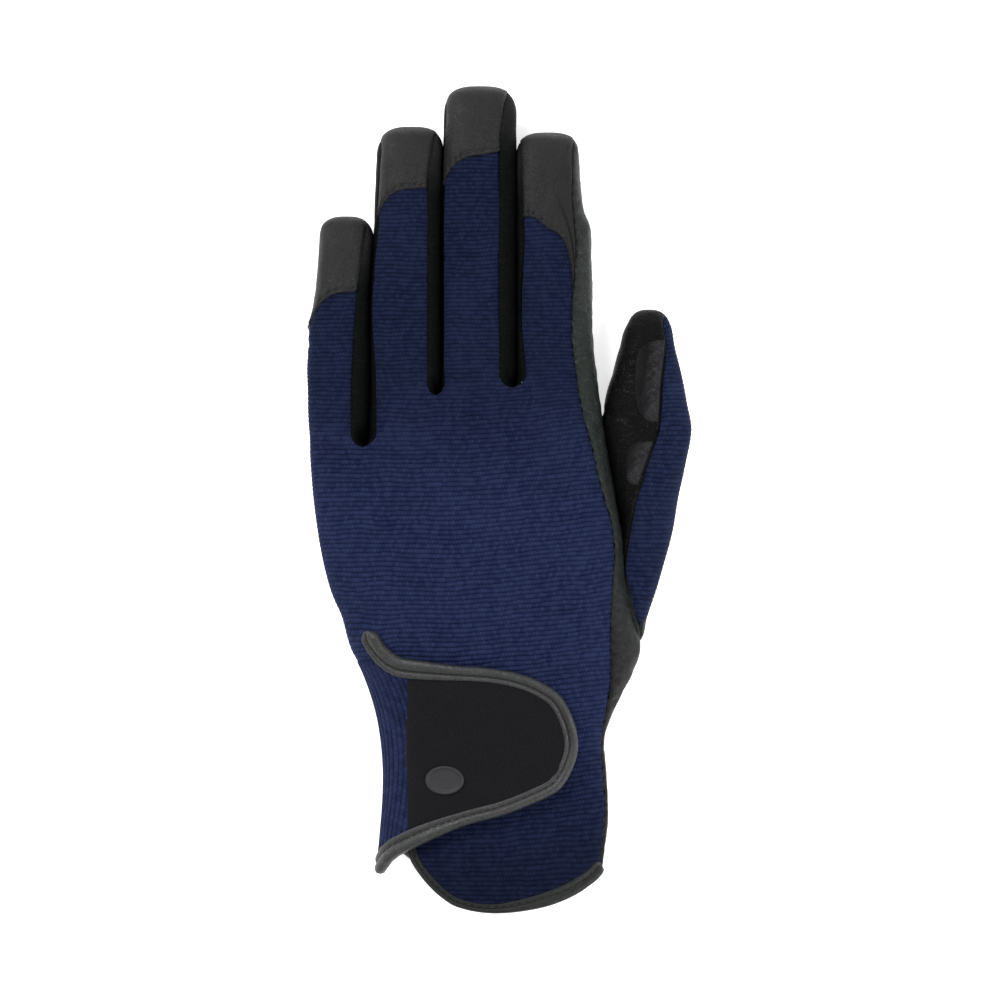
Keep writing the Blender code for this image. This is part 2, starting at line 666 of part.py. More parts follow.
def hang_pieces():
    """Parents each moving piece to an empty on its hinge, and leaves it where it is."""
    pieces = list(bpy.context.scene.objects)
    empties = {}
    for name, (parent, point) in HINGES.items():
        empty = bpy.data.objects.new("hinge_" + name, None)
        empty.empty_display_size = 0.01
        empty.location = Vector(point) * MM
        bpy.context.scene.collection.objects.link(empty)
        if parent is not None:
            empty.parent = empties[parent]
            empty.location -= Vector(HINGES[parent][1]) * MM
        empties[name] = empty
    for piece in pieces:
        hinge = hinge_of(piece.name)
        if hinge is not None:
            piece.parent = empties[hinge]
            piece.location = -Vector(HINGES[hinge][1]) * MM


def main():
    clear_scene()
    for name in FINGERS:
        finger_parts(name)
    thumb_parts()
    back_panel()
    palm_panel()
    radial_side()
    thumb_root()
    fork_gussets()
    palm_patch("palm_patch_rein", (-28.0, -8.0), (15.0, 22.0), bottom_share=0.6)
    palm_patch("palm_patch_index", (14.0, 4.0), (10.0, 20.0), bottom_share=0.75)
    strap()
    hem_bindings()
    hang_pieces()


main()
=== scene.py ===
"""The looks of the left riding glove, built round its CAD. Sizes are millimetres unless said otherwise.

Every panel is a grid on the same cross sections as the CAD's, so that panels meet edge to edge. The knit's
rows follow its ribs. Fingers part at the forks, where each panel's edges open out in a rounded notch.
"""

import math

import bpy
import numpy as np
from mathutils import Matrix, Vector


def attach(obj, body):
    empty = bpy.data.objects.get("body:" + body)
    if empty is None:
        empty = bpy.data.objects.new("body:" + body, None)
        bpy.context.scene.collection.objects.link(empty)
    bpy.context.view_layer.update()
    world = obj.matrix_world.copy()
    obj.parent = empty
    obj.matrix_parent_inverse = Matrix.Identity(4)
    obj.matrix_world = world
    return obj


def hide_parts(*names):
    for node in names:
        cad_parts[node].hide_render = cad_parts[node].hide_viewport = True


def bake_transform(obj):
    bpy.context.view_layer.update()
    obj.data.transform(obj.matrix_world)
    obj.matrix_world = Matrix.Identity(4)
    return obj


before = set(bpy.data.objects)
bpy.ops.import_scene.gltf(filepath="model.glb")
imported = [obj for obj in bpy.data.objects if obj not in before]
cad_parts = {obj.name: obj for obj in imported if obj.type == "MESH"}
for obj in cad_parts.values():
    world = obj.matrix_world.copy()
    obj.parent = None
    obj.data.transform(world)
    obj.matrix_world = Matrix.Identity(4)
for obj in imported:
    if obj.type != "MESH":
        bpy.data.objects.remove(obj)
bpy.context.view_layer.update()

MM = 0.001
PI = math.pi


class Curve:
    """A smooth curve through (position, value) stations, flat past the ends, for numbers or arrays."""

    def __init__(self, stations, column=1):
        stations = np.array(stations, float)
        self.x, self.v = stations[:, 0], stations[:, column]
        i = np.arange(len(stations))
        a, b = np.maximum(i - 1, 0), np.minimum(i + 1, len(i) - 1)
        self.m = (self.v[b] - self.v[a]) / (self.x[b] - self.x[a])

    def __call__(self, x):
        x = np.clip(x, self.x[0], self.x[-1])
        k = np.clip(np.searchsorted(self.x, x, "right") - 1, 0, len(self.x) - 2)
        h = self.x[k + 1] - self.x[k]
        t = (x - self.x[k]) / h
        return ((2 * t**3 - 3 * t**2 + 1) * self.v[k] + (t**3 - 2 * t**2 + t) * h * self.m[k]
                + (3 * t**2 - 2 * t**3) * self.v[k + 1] + (t**3 - t**2) * h * self.m[k + 1])


# ---------------------------------------------------------------------------- sizes and outlines

FINGERS = {
    "little": {
        "plan": ((15.0, -45.6, 15.8), (28.0, -45.5, 17.0), (46.0, -45.3, 17.1), (58.8, -43.9, 15.2),
                 (72.8, -43.3, 14.2)),
        "height": ((15.0, 13.0), (50.0, 12.6), (80.0, 11.0)),
        "base": 15.5, "split": 31.0, "joint": 43.5, "tip": 79.8,
        "face_right": ((15.0, 3.8), (28.0, 4.6), (46.0, 4.1), (56.0, 3.9), (66.0, 2.8), (77.0, 1.4)),
        "seam": ((0.0, 47.0), (0.3, 49.4), (0.52, 54.4), (0.75, 57.4), (1.0, 58.6)),
    },
    "ring": {
        "plan": ((15.0, -26.4, 19.6), (28.0, -25.95, 19.0), (56.0, -26.45, 19.6), (78.0, -25.5, 17.8),
                 (98.0, -24.9, 17.2)),
        "height": ((15.0, 15.0), (65.0, 14.0), (105.0, 12.0)),
        "base": 29.5, "split": 46.0, "joint": 62.0, "tip": 105.0,
        "face_left": ((15.0, 1.2), (25.0, 0.6), (45.0, 0.25)),
        "face_right": ((15.0, 3.6), (80.0, 3.5), (90.0, 3.9), (96.0, 3.0), (104.0, 1.6)),
        "seam": ((0.0, 78.6), (0.25, 82.6), (0.5, 85.6), (0.75, 87.0), (1.0, 87.4)),
    },
    "middle": {
        "plan": ((15.0, -6.05, 20.1), (84.0, -6.0, 20.0), (109.2, -5.6, 18.9)),
        "height": ((15.0, 16.0), (70.0, 14.6), (116.0, 12.4)),
        "base": 32.0, "split": 50.0, "joint": 68.0, "tip": 116.4,
        "face_left": ((15.0, 0.2), (110.0, 0.2)),
        "face_right": ((15.0, 4.0), (98.0, 4.0), (110.0, 2.8), (115.0, 1.6)),
        "seam": ((0.0, 87.6), (0.25, 91.8), (0.5, 94.8), (0.8, 96.8), (1.0, 97.6)),
    },
    "index": {
        "plan": ((15.0, 16.8, 22.8), (32.0, 16.3, 22.0), (44.8, 15.5, 21.0), (70.0, 15.2, 20.6),
                 (84.0, 14.0, 18.2), (98.0, 13.5, 17.0)),
        "height": ((15.0, 15.6), (65.0, 14.2), (104.0, 12.0)),
        "base": 32.0, "split": 47.5, "joint": 62.5, "tip": 103.4,
        "face_left": ((15.0, 1.7), (37.0, 1.7), (44.0, 1.0), (50.0, 0.6), (60.0, 0.6), (67.0, 1.2),
                      (74.0, 1.5), (98.0, 0.8)),
        "face_right": ((13.0, 2.0), (20.0, 3.5), (31.0, 5.3), (45.0, 5.6), (60.0, 5.2), (84.0, 3.0),
                       (100.0, 1.6)),
        "seam": ((0.0, 79.2), (0.35, 79.0), (0.6, 76.0), (0.8, 71.0), (0.93, 64.0), (1.0, 58.0)),
    },
}
NAMES = list(FINGERS)
FORK_Y = (14.8, 29.4, 31.4)
FORK_REACH = 7.0        # over this height a finger turns from a part of the hand into its own tube
FORK_ROUND = 1.15       # height of a fork's rounded bottom, as a share of half its width
TIP_LENGTH = 8.0
WIDEST = 0.42           # share of the height at which a section is widest

HAND_LEFT = ((-105.0, -31.4), (-94.1, -30.2), (-77.3, -29.2), (-63.8, -30.4), (-53.8, -33.0),
             (-43.7, -37.4), (-33.6, -43.6), (-23.5, -48.0), (-3.4, -51.8), (16.8, -53.4), (34.0, -53.4))
HAND_RIGHT = ((-105.0, 28.4), (-89.6, 30.2), (-77.3, 29.8), (-67.2, 29.2), (-60.5, 31.2), (-53.8, 34.4),
              (-48.0, 37.3), (-41.0, 39.2), (-34.0, 37.8), (-23.0, 35.6), (-11.0, 34.4), (0.0, 32.6),
              (10.1, 30.8), (23.5, 28.6), (34.0, 27.2))
HAND_HEIGHT = ((-105.0, 17.0), (-80.0, 17.2), (-60.0, 18.4), (-30.0, 21.6), (0.0, 20.6), (34.0, 16.6))
KNIT_EDGE = Curve(((-115.0, 27.6), (-105.0, 28.0), (-89.6, 29.8), (-77.3, 29.4), (-68.0, 28.8), (-57.0, 30.4),
                   (-50.0, 31.1), (-34.0, 31.2), (-21.0, 31.9), (-14.0, 32.4), (-6.0, 31.4), (0.0, 29.6),
                   (6.7, 27.8), (13.4, 26.3)))
FLAP_LEFT = Curve(((-94.0, -25.2), (-88.0, -26.2), (-70.0, -26.5), (-50.0, -31.0), (-41.0, -36.5)))
FLAP_LOW = Curve(((-25.2, -94.0), (-24.6, -97.5), (-23.6, -100.5), (-21.8, -103.4), (-19.2, -106.6),
                  (-16.3, -109.4), (-11.6, -112.4), (-2.2, -114.0), (9.0, -112.4), (18.6, -109.2),
                  (25.4, -105.0), (28.4, -101.6)))
PALM_HEM = Curve(((-34.0, -95.0), (-30.0, -96.0), (-22.0, -101.5), (-14.0, -104.6), (0.0, -105.0),
                  (20.0, -104.4), (28.0, -103.0)))
WRIST_END = -105.0
FLAP_END = -115.0
SLIT_TOP = -47.0
STRIPS_START = 10.0     # where the hand's panels hand over to the fingers'
PALM_LEVEL = 0.9
PALM_GAP = 0.9          # from a finger's side to the edge of its front panel
PALM_INSET = 3.0        # from the thumb side to the edge of the palm's leather
SIDE_SEAM = PI + 0.14   # the angle of the seam on the hand's little-finger side
LITTLE_SEAM = PI + 0.40     # and of the one on the little finger's own tube

THUMB_PLAN = ((-46.0, 33.0, 36.4), (-38.5, 32.5, 40.2), (-33.6, 32.6, 41.2), (-23.5, 33.0, 44.4),
              (-8.0, 33.4, 48.7), (0.0, 32.3, 49.9), (10.0, 30.3, 52.0), (20.0, 28.6, 53.7),
              (28.0, 29.4, 52.4), (35.0, 31.4, 51.2), (43.0, 33.7, 49.2), (50.0, 35.6, 48.2))
THUMB_HEIGHT = ((-46.0, 9.0), (-30.0, 14.0), (-8.0, 16.4), (10.0, 17.2), (24.0, 16.0), (40.0, 13.0),
                (54.0, 10.5))
THUMB_SEAM = Curve(((-36.0, 39.6), (-33.6, 38.9), (-30.2, 37.4), (-26.9, 36.4), (-23.5, 35.4), (-20.2, 34.6),
                    (-16.8, 34.8), (-13.4, 35.3), (-6.7, 36.6), (0.0, 38.1), (6.7, 40.3), (13.4, 42.6),
                    (20.2, 44.8), (33.6, 45.9), (43.7, 47.0), (50.0, 46.2)))
THUMB_ROOT = -46.0
THUMB_START = -36.0     # where the thumb's knit begins, in a point
THUMB_TIP = 53.6
THUMB_CREASE = 21.0

STRAP_TOP = Curve(((-34.0, -44.0), (-30.0, -44.4), (-25.9, -44.9), (-14.7, -45.9), (-2.2, -46.8),
                   (6.6, -48.7), (12.9, -51.8), (17.9, -56.2), (21.8, -62.5)))
STRAP_FOOT = Curve(((-34.0, -103.2), (-30.0, -99.8), (-25.9, -97.2), (-18.5, -93.8), (-9.7, -90.6),
                    (0.3, -87.9), (9.2, -84.4), (15.4, -81.2), (21.8, -75.5)))
STRAP_END, STRAP_ROUND, STRAP_SPLIT = 21.8, 5.5, -26.6
RIM = 2.1               # half the width of the strap's binding
STRAP_LIFT, STRAP_SHEET = 2.3, 1.4
TAPE_SHEET = 0.7
STRAP_TURN = ("hand", "strap", 5.2, 11.0, 2)   # the tab, sewn to the palm's edge, turns over this height

RIB_HAND, RIB_FINGER, RIB_TAB = 1.31, 1.17, 1.7
RIB_DEPTH = 0.12
RISE_X, RISE_SLOPE = -14.0, 0.105   # right of this x the ribs rise towards the thumb side
LINING_DEPTH = 1.1

# How each finger and the thumb bend: the lower half from the hand, then the upper half from the lower
MOTIONS = {name: (("hand", f"{name}_lower", sizes["base"] - 1.0, sizes["base"] + 13.0),
                  (f"{name}_lower", f"{name}_upper", sizes["joint"] - 6.5, sizes["joint"] + 6.5))
           for name, sizes in FINGERS.items()}
MOTIONS["thumb"] = (("hand", "thumb_lower", -26.0, 3.0), ("thumb_lower", "thumb_upper", 12.5, 27.5))
SPLIT = {name: sizes["split"] for name, sizes in FINGERS.items()}
SPLIT["thumb"] = 6.0


# ---------------------------------------------------------------------------- numbers and grids

def smooth(t):
    t = np.clip(t, 0.0, 1.0)
    return t * t * (3 - 2 * t)


def mix(a, b, t):
    return a + (b - a) * t


def quarter(t):
    """Rises from 0 to 1 as a quarter of a circle."""
    return np.sqrt(1 - (1 - np.clip(t, 0, 1)) ** 2)


def fade(values, edge, width):
    """1 at edge, falling to 0 width millimetres away."""
    return 1 - smooth(np.abs(values - edge) / width)


def unit(v):
    return v / np.maximum(np.linalg.norm(v, axis=-1, keepdims=True), 1e-9)


def spread(rows, across):
    """Two grids, of each point's row value and of its value across."""
    return np.meshgrid(rows, across, indexing="ij")


def travelled(p, axis=0):
    """The distance run so far along a path, or along one axis of a grid of points."""
    return np.insert(np.cumsum(np.linalg.norm(np.diff(p, axis=axis), axis=-1), axis), 0, 0, axis)


def at_distances(at, distance, path):
    return np.stack([np.interp(at, distance, column) for column in path.T], -1)


def resample(path, step, *others):
    """Points every step millimetres along a path, and the same for arrays that go with it."""
    distance = travelled(path)
    at = np.linspace(0, distance[-1], max(2, round(distance[-1] / step) + 1))
    return [at_distances(at, distance, a) for a in (path, *others)]


def noise(p, seed=0):
    """Smooth value noise from -1 to 1 at points p, whose cells are one unit wide."""
    i = np.floor(p).astype(np.int64)
    f = p - i
    f = f * f * (3 - 2 * f)
    total = 0.0
    for dx in (0, 1):
        for dy in (0, 1):
            for dz in (0, 1):
                n = ((i[..., 0] + dx) * 73856093 ^ (i[..., 1] + dy) * 19349663 ^ (i[..., 2] + dz) * 83492791
                     ^ seed * 40503)
                n = (n ^ (n >> 13)) * 1274126177 & 0x7FFFFFFF
                w = np.prod(np.where((dx, dy, dz), f, 1 - f), axis=-1)
                total = total + w * (((n ^ (n >> 16)) & 0xFFFF) / 32767.5 - 1)
    return total


# ---------------------------------------------------------------------------- cross sections

def closing(y, tip, length, power):
    """The share that is left of a section's size as it closes over length towards the tip."""
    t = np.clip((y - tip + length) / length, 0, 1)
    return (1 - t**power) ** (1 / power)


class Tube:
    """Superelliptic cross sections of one finger, the thumb or the hand, at any y.

    depth is how far inside the surface they lie.
    """

    def __init__(self, left, right, height, floor, top, bottom, tip=None, blunt=(3.0, 2.2)):
        self.left, self.right, self.height, self.floor = left, right, height, floor
        self.top, self.bottom, self.tip, self.blunt = top, bottom, tip, blunt

    def parts(self, y, depth=0.0):
        """Centre, half width, floor and height of the section."""
        left, right = self.left(y) + depth, self.right(y) - depth
        half, height = (right - left) / 2, self.height(y) - 2 * depth
        floor = self.floor(y) + depth
        if self.tip is not None:
            closed = height * closing(y, self.tip - depth, TIP_LENGTH + 3.0, self.blunt[1])
            half = half * closing(y, self.tip - depth, TIP_LENGTH, self.blunt[0])
            floor = floor + (height - closed) * WIDEST
            height = closed
        return (left + right) / 2, half, floor, height

    def point(self, y, angle, depth=0.0):
        centre, half, floor, height = self.parts(y, depth)
        c, s = np.cos(angle), np.sin(angle)
        power = 2.0 / np.where(s >= 0, self.top(y), self.bottom)
        share = np.where(s >= 0, 1 - WIDEST, WIDEST)
        x = centre + half * np.sign(c) * np.abs(c) ** power
        z = floor + WIDEST * height + height * share * np.sign(s) * np.abs(s) ** power
        return np.stack(np.broadcast_arrays(x, y, z), -1)

    def angle(self, y, x, below=False, depth=0.0):
        """The angle at which the section passes x, over or below."""
        centre, half, _, _ = self.parts(y, depth)
        share = np.clip((x - centre) / np.maximum(half, 1e-6), -1, 1)
        power = (self.bottom if below else self.top(y)) / 2
        found = np.arccos(np.sign(share) * np.abs(share) ** power)
        return 2 * PI - found if below else found


def finger_tube(name):
    finger = FINGERS[name]
    centre, width = Curve(finger["plan"], 1), Curve(finger["plan"], 2)
    return Tube(lambda y: centre(y) - width(y) / 2, lambda y: centre(y) + width(y) / 2,
                Curve(finger["height"]), lambda y: PALM_LEVEL * (1 - smooth((y - finger["base"]) / 15.0)),
                lambda y: 3.0, 3.2, finger["tip"])


HAND = Tube(Curve(HAND_LEFT), Curve(HAND_RIGHT), Curve(HAND_HEIGHT), lambda y: PALM_LEVEL,
            lambda y: 2.5 + 1.0 * np.clip((y + 40) / 70, 0, 1), 5.0)
THUMB = Tube(Curve(THUMB_PLAN, 1), Curve(THUMB_PLAN, 2), Curve(THUMB_HEIGHT), lambda y: 0.6,
             lambda y: 2.4, 2.8, THUMB_TIP, (2.6, 2.2))
TUBES = {**{name: finger_tube(name) for name in NAMES}, "hand": HAND, "thumb": THUMB}


def inside(name, p):
    """A point within the finger, hand or thumb at the y of each point of a grid."""
    tube, y = TUBES[name], p[..., 1]
    return np.stack([(tube.left(y) + tube.right(y)) / 2, y, tube.height(y) * 0.45 + tube.floor(y)], -1)


# ---------------------------------------------------------------------------- how the fingers part

FACE_LEFT = {name: Curve(FINGERS[name]["face_left"]) for name in NAMES[1:]}
FACE_RIGHT = {name: Curve(FINGERS[name]["face_right"]) for name in NAMES}


def channel(k, y, palm=False):
    """x of the two edges of the channel above fork k, which meet at its rounded bottom."""
    left, right, bottom = NAMES[k], NAMES[k + 1], FORK_Y[k]

    def edges(at):
        if palm:
            return TUBES[left].right(at) - PALM_GAP, TUBES[right].left(at) + PALM_GAP
        return TUBES[left].right(at) - FACE_RIGHT[left](at), TUBES[right].left(at) + FACE_LEFT[right](at)

    a, b = edges(np.maximum(y, bottom))
    first, last = edges(bottom)
    half = (b - a) / 2 * quarter((y - bottom) / (FORK_ROUND * (last - first) / 2))
    return (a + b) / 2 - half, (a + b) / 2 + half


def parted(name, y):
    """How far this finger is its own tube at y, on its little-finger side and on its thumb side."""
    k = NAMES.index(name)
    shares = [smooth((y - FORK_Y[fork]) / FORK_REACH) for fork in (k - 1, k) if fork in range(3)]
    return shares[0], shares[-1]


def knit_edge(y):
    """x of the back's thumb-side edge, from the wrist up along the index finger."""
    up = TUBES["index"].right(y) - FACE_RIGHT["index"](y)
    return mix(KNIT_EDGE(y), up, smooth((y - 11.0) / 6.0))


def strip_point(name, y, q, palm=False):
    """A point of a finger's back or front panel. q runs from its little-finger side to its thumb side."""
    k = NAMES.index(name)

    def on(tube, seam):
        first = seam if k == 0 else tube.angle(y, channel(k - 1, y, palm)[1], palm)
        if k < 3:
            last = channel(k, y, palm)[0]
        else:
            last = tube.right(y) - PALM_INSET if palm else knit_edge(y)
        return tube.point(y, mix(first, tube.angle(y, last, palm), q))

    left, right = parted(name, y)
    return mix(on(HAND, SIDE_SEAM), on(TUBES[name], LITTLE_SEAM), mix(left, right, q)[..., None])


def side_point(tube, y, u):
    """A point of the leather on the thumb side. u runs from the knit's edge to the palm's."""
    return tube.point(y, mix(tube.angle(y, knit_edge(y)), palm_edge(y, tube) - 2 * PI, u))


def palm_edge(y, tube=HAND):
    return tube.angle(y, tube.right(y) - PALM_INSET, below=True)


def tilted(point, s, q, turns):
    """y of ribs that start at y = s, as they rise over a panel whose points are point(y, q)."""
    y = s
    for _ in range(turns):
        right = np.maximum(0, point(y, q)[..., 0] - RISE_X)
        rise = RISE_SLOPE * right**2 / (right + 8)
        y = s + rise * (1 - smooth((s - 16) / 30)) * smooth((s + 116) / 30)
    return y


RIB_Y = np.linspace(-130.0, 130.0, 5201)
RIB_COUNT = np.cumsum((RIB_Y[1] - RIB_Y[0]) / mix(RIB_HAND, RIB_FINGER, smooth((RIB_Y - 12) / 30)))


def rib_rows(first, last, per_rib):
    """Rows from first to last that follow the ribs, as their y before tilting and their rib count."""
    a, b = np.interp((first, last), RIB_Y, RIB_COUNT)
    counts = np.arange(round(a) * per_rib, round(b) * per_rib + 1) / per_rib
    return np.interp(counts, RIB_COUNT, RIB_Y), counts


# ---------------------------------------------------------------------------- meshes

def grid_normals(p, inner, wrap=False):
    """Normals of a grid, away from inner, and whether its faces have to be turned round for that."""
    across = (np.roll(p, -1, 1) - np.roll(p, 1, 1)) / 2 if wrap else np.gradient(p, axis=1)
    n = unit(np.cross(across, np.gradient(p, axis=0)))
    turned = np.sum(n * (p - inner)) < 0
    return (-n if turned else n), turned


def arc_uv(p):
    """Distances in millimetres across and along a grid."""
    u = travelled(p, 1)
    return u - u.mean(1, keepdims=True), travelled(p, 0)


def mesh_object(name, points, faces, material, uv=None):
    mesh = bpy.data.meshes.new(name)
    mesh.from_pydata((np.asarray(points) * MM).tolist(), [], [tuple(map(int, face)) for face in faces])
    mesh.validate()
    mesh.shade_smooth()
    if uv is not None:
        layer = mesh.uv_layers.new(name="UVMap")
        loops = np.zeros(len(mesh.loops), np.int64)
        mesh.loops.foreach_get("vertex_index", loops)
        layer.data.foreach_set("uv", uv.astype(np.float32)[loops].ravel())
    mesh.materials.append(material)
    obj = bpy.data.objects.new(name, mesh)
    bpy.context.scene.collection.objects.link(obj)
    return obj


def numbered(grid):
    return np.arange(grid[..., 0].size).reshape(grid.shape[:2])


def quads_of(index, wrap=False):
    """Faces of a grid of point numbers. With wrap, its last column joins its first."""
    after = np.roll(index, -1, 1)
    quads = np.stack([index[:-1], after[:-1], after[1:], index[1:]], -1)
    return (quads if wrap else quads[:, :-1]).reshape(-1, 4)


def closed_tube(index):
    """Faces of a tube from its grid of point numbers, with one over each end."""
    return [*map(tuple, quads_of(index, wrap=True)), tuple(index[0][::-1]), tuple(index[-1])]


def flat_uv(uv):
    return np.stack(uv, -1).reshape(-1, 2)


def grid_object(name, p, material, inner, uv=None, wrap=False):
    """A grid of points as a smooth mesh facing away from inner."""
    quads = quads_of(numbered(p), wrap)
    if grid_normals(p, inner, wrap)[1]:
        quads = quads[:, ::-1]
    return mesh_object(name, p.reshape(-1, 3), quads, material, flat_uv(uv or arc_uv(p)))


def place(obj, motion, replaces=()):
    """motion is a body's name, which the piece is attached to, or (body, body, start, end, axis) for a piece
    that bends between two, which is left unattached with its transform baked in.

    The axis is not used, nor is the rest of the tuple.
    """
    if isinstance(motion, str):
        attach(obj, motion)
    else:
        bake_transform(obj)
    if replaces:
        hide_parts(*replaces)


def place_halves(label, name, p, rows, material, nodes=(), uv=None, more=((), ()), wrap=False):
    """A grid as a lower and an upper piece that share a row. Each * stands for lower or upper.

    more holds nodes that only the lower piece replaces, then those of the upper.
    """
    cut = int(np.searchsorted(rows, SPLIT[name]))
    halves = zip(("lower", "upper"), (slice(0, cut + 1), slice(cut, None)), MOTIONS[name], more)
    for half, part, motion, extra in halves:
        part_uv = uv and (uv[0][part], uv[1][part])
        made = grid_object(label.replace("*", half), p[part], material, inside(name, p[part]), part_uv, wrap)
        place(made, motion, [*(node.replace("*", half) for node in nodes), *extra])


def stitches(name, path, normals, motion, material, pitch, length, radius, sink):
    """A row of short threads along a path, each dipping in at its ends."""
    path, normals = resample(path, 0.25, normals)
    distance, normals = travelled(path), unit(normals)
    steps, sides = 7, 6
    share, angle = np.linspace(0, 1, steps), np.linspace(0, 2 * PI, sides + 1)[:-1, None]
    arch = np.sin(PI * share)
    size = radius * (0.35 + 0.65 * arch**0.5)
    rise = radius * 0.55 * arch - sink - radius * 0.5 * (1 - arch)
    index = np.arange(steps * sides).reshape(steps, sides)
    points, faces, uv = [], [], []
    for k in range(int(distance[-1] / pitch)):
        at = k * pitch + (pitch - length) / 2 + length * share
        centre, up = at_distances(at, distance, path), at_distances(at, distance, normals)
        side = np.cross(unit(np.gradient(centre, axis=0)), up)
        centre = centre + up * rise[:, None]
        around = np.cos(angle) * side[:, None] + np.sin(angle) * up[:, None]
        points.append((centre[:, None] + size[:, None, None] * around).reshape(-1, 3))
        faces += closed_tube(index + k * index.size)
        uv.append(flat_uv(spread(at, np.arange(sides) / sides)[::-1]))
    made = mesh_object(name, np.concatenate(points), faces, material, np.concatenate(uv))
    place(made, motion, ())


def slab(name, top, bottom, material, uv=None):
    """A closed sheet between two grids, its rim rounded."""
    index = numbered(top)
    ring = np.concatenate([index[0], index[1:, -1], index[-1, -2::-1], index[-2:0:-1, 0]])
    over, under = top.reshape(-1, 3), bottom.reshape(-1, 3)
    rim = (over + under)[ring] / 2
    rim = rim + 0.3 * unit((rim - over.mean(0)) * [1, 1, 0])
    outer = 2 * index.size + np.arange(len(ring))
    a, b, rim_a, rim_b = ring, np.roll(ring, -1), outer, np.roll(outer, -1)
    quads = quads_of(index)
    faces = np.concatenate([quads, index.size + quads[:, ::-1], np.stack([b, a, rim_a, rim_b], -1),
                            np.stack([index.size + a, index.size + b, rim_b, rim_a], -1)])
    if grid_normals(top, bottom)[1]:
        faces = faces[:, ::-1]
    uv = flat_uv(uv or arc_uv(top))
    points, uv = np.concatenate([over, under, rim]), np.concatenate([uv, uv, uv[ring]])
    return mesh_object(name, points, faces, material, uv)


# ---------------------------------------------------------------------------- materials

def operation(kind):
    """A method that adds a Math node."""
    return lambda self, *others: self.made.node("Math", (self, *others), operation=kind)


class Value:
    """The output of a node. Arithmetic with it adds Math nodes."""

    __add__, __sub__, __mul__ = operation("ADD"), operation("SUBTRACT"), operation("MULTIPLY")
    __truediv__, __pow__, __abs__ = operation("DIVIDE"), operation("POWER"), operation("ABSOLUTE")
    sine, floor, fract = operation("SINE"), operation("FLOOR"), operation("FRACT")
    least, most = operation("MINIMUM"), operation("MAXIMUM")

    def __init__(self, made, socket):
        self.made, self.socket = made, socket

    def clamped(self):
        self.socket.node.use_clamp = True
        return self

    def ramp(self, low, high, out_low=0.0, out_high=1.0):
        """Turns smoothly from out_low at low to out_high at high."""
        values = (self, low, high, out_low, out_high)
        return self.made.node("MapRange", values, interpolation_type="SMOOTHSTEP")


class Build:
    """A material in the making. Each call but the last adds a node and returns its output."""

    def __init__(self, name):
        self.material = bpy.data.materials.new(name)
        self.material.use_nodes = True
        self.tree = self.material.node_tree

    def feed(self, node, values):
        """Links or sets inputs, given in order or by name or number. Colours come without their alpha."""
        for key, value in (values if isinstance(values, dict) else dict(enumerate(values))).items():
            if isinstance(value, Value):
                self.tree.links.new(value.socket, node.inputs[key])
            else:
                node.inputs[key].default_value = (*value, 1.0) if isinstance(value, tuple) else value

    def node(self, kind, values=(), out=0, **settings):
        node = self.tree.nodes.new("ShaderNode" + kind)
        for key, value in settings.items():
            setattr(node, key, value)
        self.feed(node, values)
        return Value(self, node.outputs[out])

    def uv(self):
        """The UV map's vector, its x and its y."""
        at = self.node("UVMap")
        x = self.node("SeparateXYZ", (at,))
        return at, x, Value(self, x.socket.node.outputs[1])

    def join(self, x, y):
        return self.node("CombineXYZ", (x, y))

    def noise(self, vector, scale, detail=2.0, roughness=0.5):
        values = {"Vector": vector, "Scale": scale, "Detail": detail, "Roughness": roughness}
        return self.node("TexNoise", values)

    def cells(self, vector, scale, feature="F1"):
        return self.node("TexVoronoi", {"Vector": vector, "Scale": scale}, "Distance", feature=feature)

    def colour(self, factor, a, b):
        return self.node("Mix", {0: factor, 6: a, 7: b}, 2, data_type="RGBA")

    def bump(self, height, distance, strength, under=None):
        more = {"Normal": under} if under else {}
        return self.node("Bump", {"Strength": strength, "Distance": distance, "Height": height, **more})

    def shade(self, values):
        """Feeds the shader and returns the material."""
        self.feed(self.tree.nodes["Principled BSDF"], values)
        return self.material


def knit_material(name, dark, light, wale=0.95, shaded_ends=True):
    """Ribbed knit. The UV map's x is millimetres across and its y counts ribs, from the wrist up."""
    b = Build(name)
    at, x, y = b.uv()
    wander = (b.noise(b.join(x, y * 1.2), 1.6, 4.0, 0.7) - 0.5) * 0.35
    row = y + wander * 0.35
    rib = abs((row * PI).sine()) ** 0.6
    leaned = x / wale + wander * 2.0 + abs(row.fract() - 0.5) * 0.7 + row.floor() * 0.5
    loop = abs((leaned * PI).sine()) ** 0.7
    height = rib * 0.5 + loop * rib * 0.5
    cell = b.node("TexWhiteNoise", {"Vector": b.join(leaned.floor(), row.floor())}, "Value")
    uneven = (b.noise(at, 0.05, 3.0, 0.6) - 0.5) * 0.55 + (cell - 0.5) * 0.46
    # Painted light and shade of the relief: rib valleys and gaps between loops take the dark colour, rib and
    # loop crowns the light one, with random tone from uneven on top
    colour = b.colour((height.ramp(0.0, 0.95, 0.16, 0.82) + uneven).clamped(), dark, light)
    speck = b.noise(at, 5.5, 1.0).ramp(0.66, 0.80, 0.0, 0.35)
    colour = b.colour(speck, colour, tuple(c * 1.9 + 0.004 for c in light))
    # Painted shade: the knit darkens towards the wrist flap and up the fingers, to 0.42 and 0.6 of its colour
    if shaded_ends:
        unshaded_share = y.ramp(16.0, 50.0, 0.42, 1.0) * y.ramp(92.0, 128.0, 1.0, 0.60)
        colour = b.colour(unshaded_share, (0.0, 0.0, 0.0), colour)
    fine = b.bump(b.noise(at, 9.0), 0.0001, 0.35)
    return b.shade({"Base Color": colour, "Roughness": 0.88, "Specular IOR Level": 0.04, "Sheen Weight": 0.05,
                    "Sheen Roughness": 0.45, "Sheen Tint": (0.35, 0.45, 0.9),
                    "Normal": b.bump(height, 0.00034, 0.9, fine)})


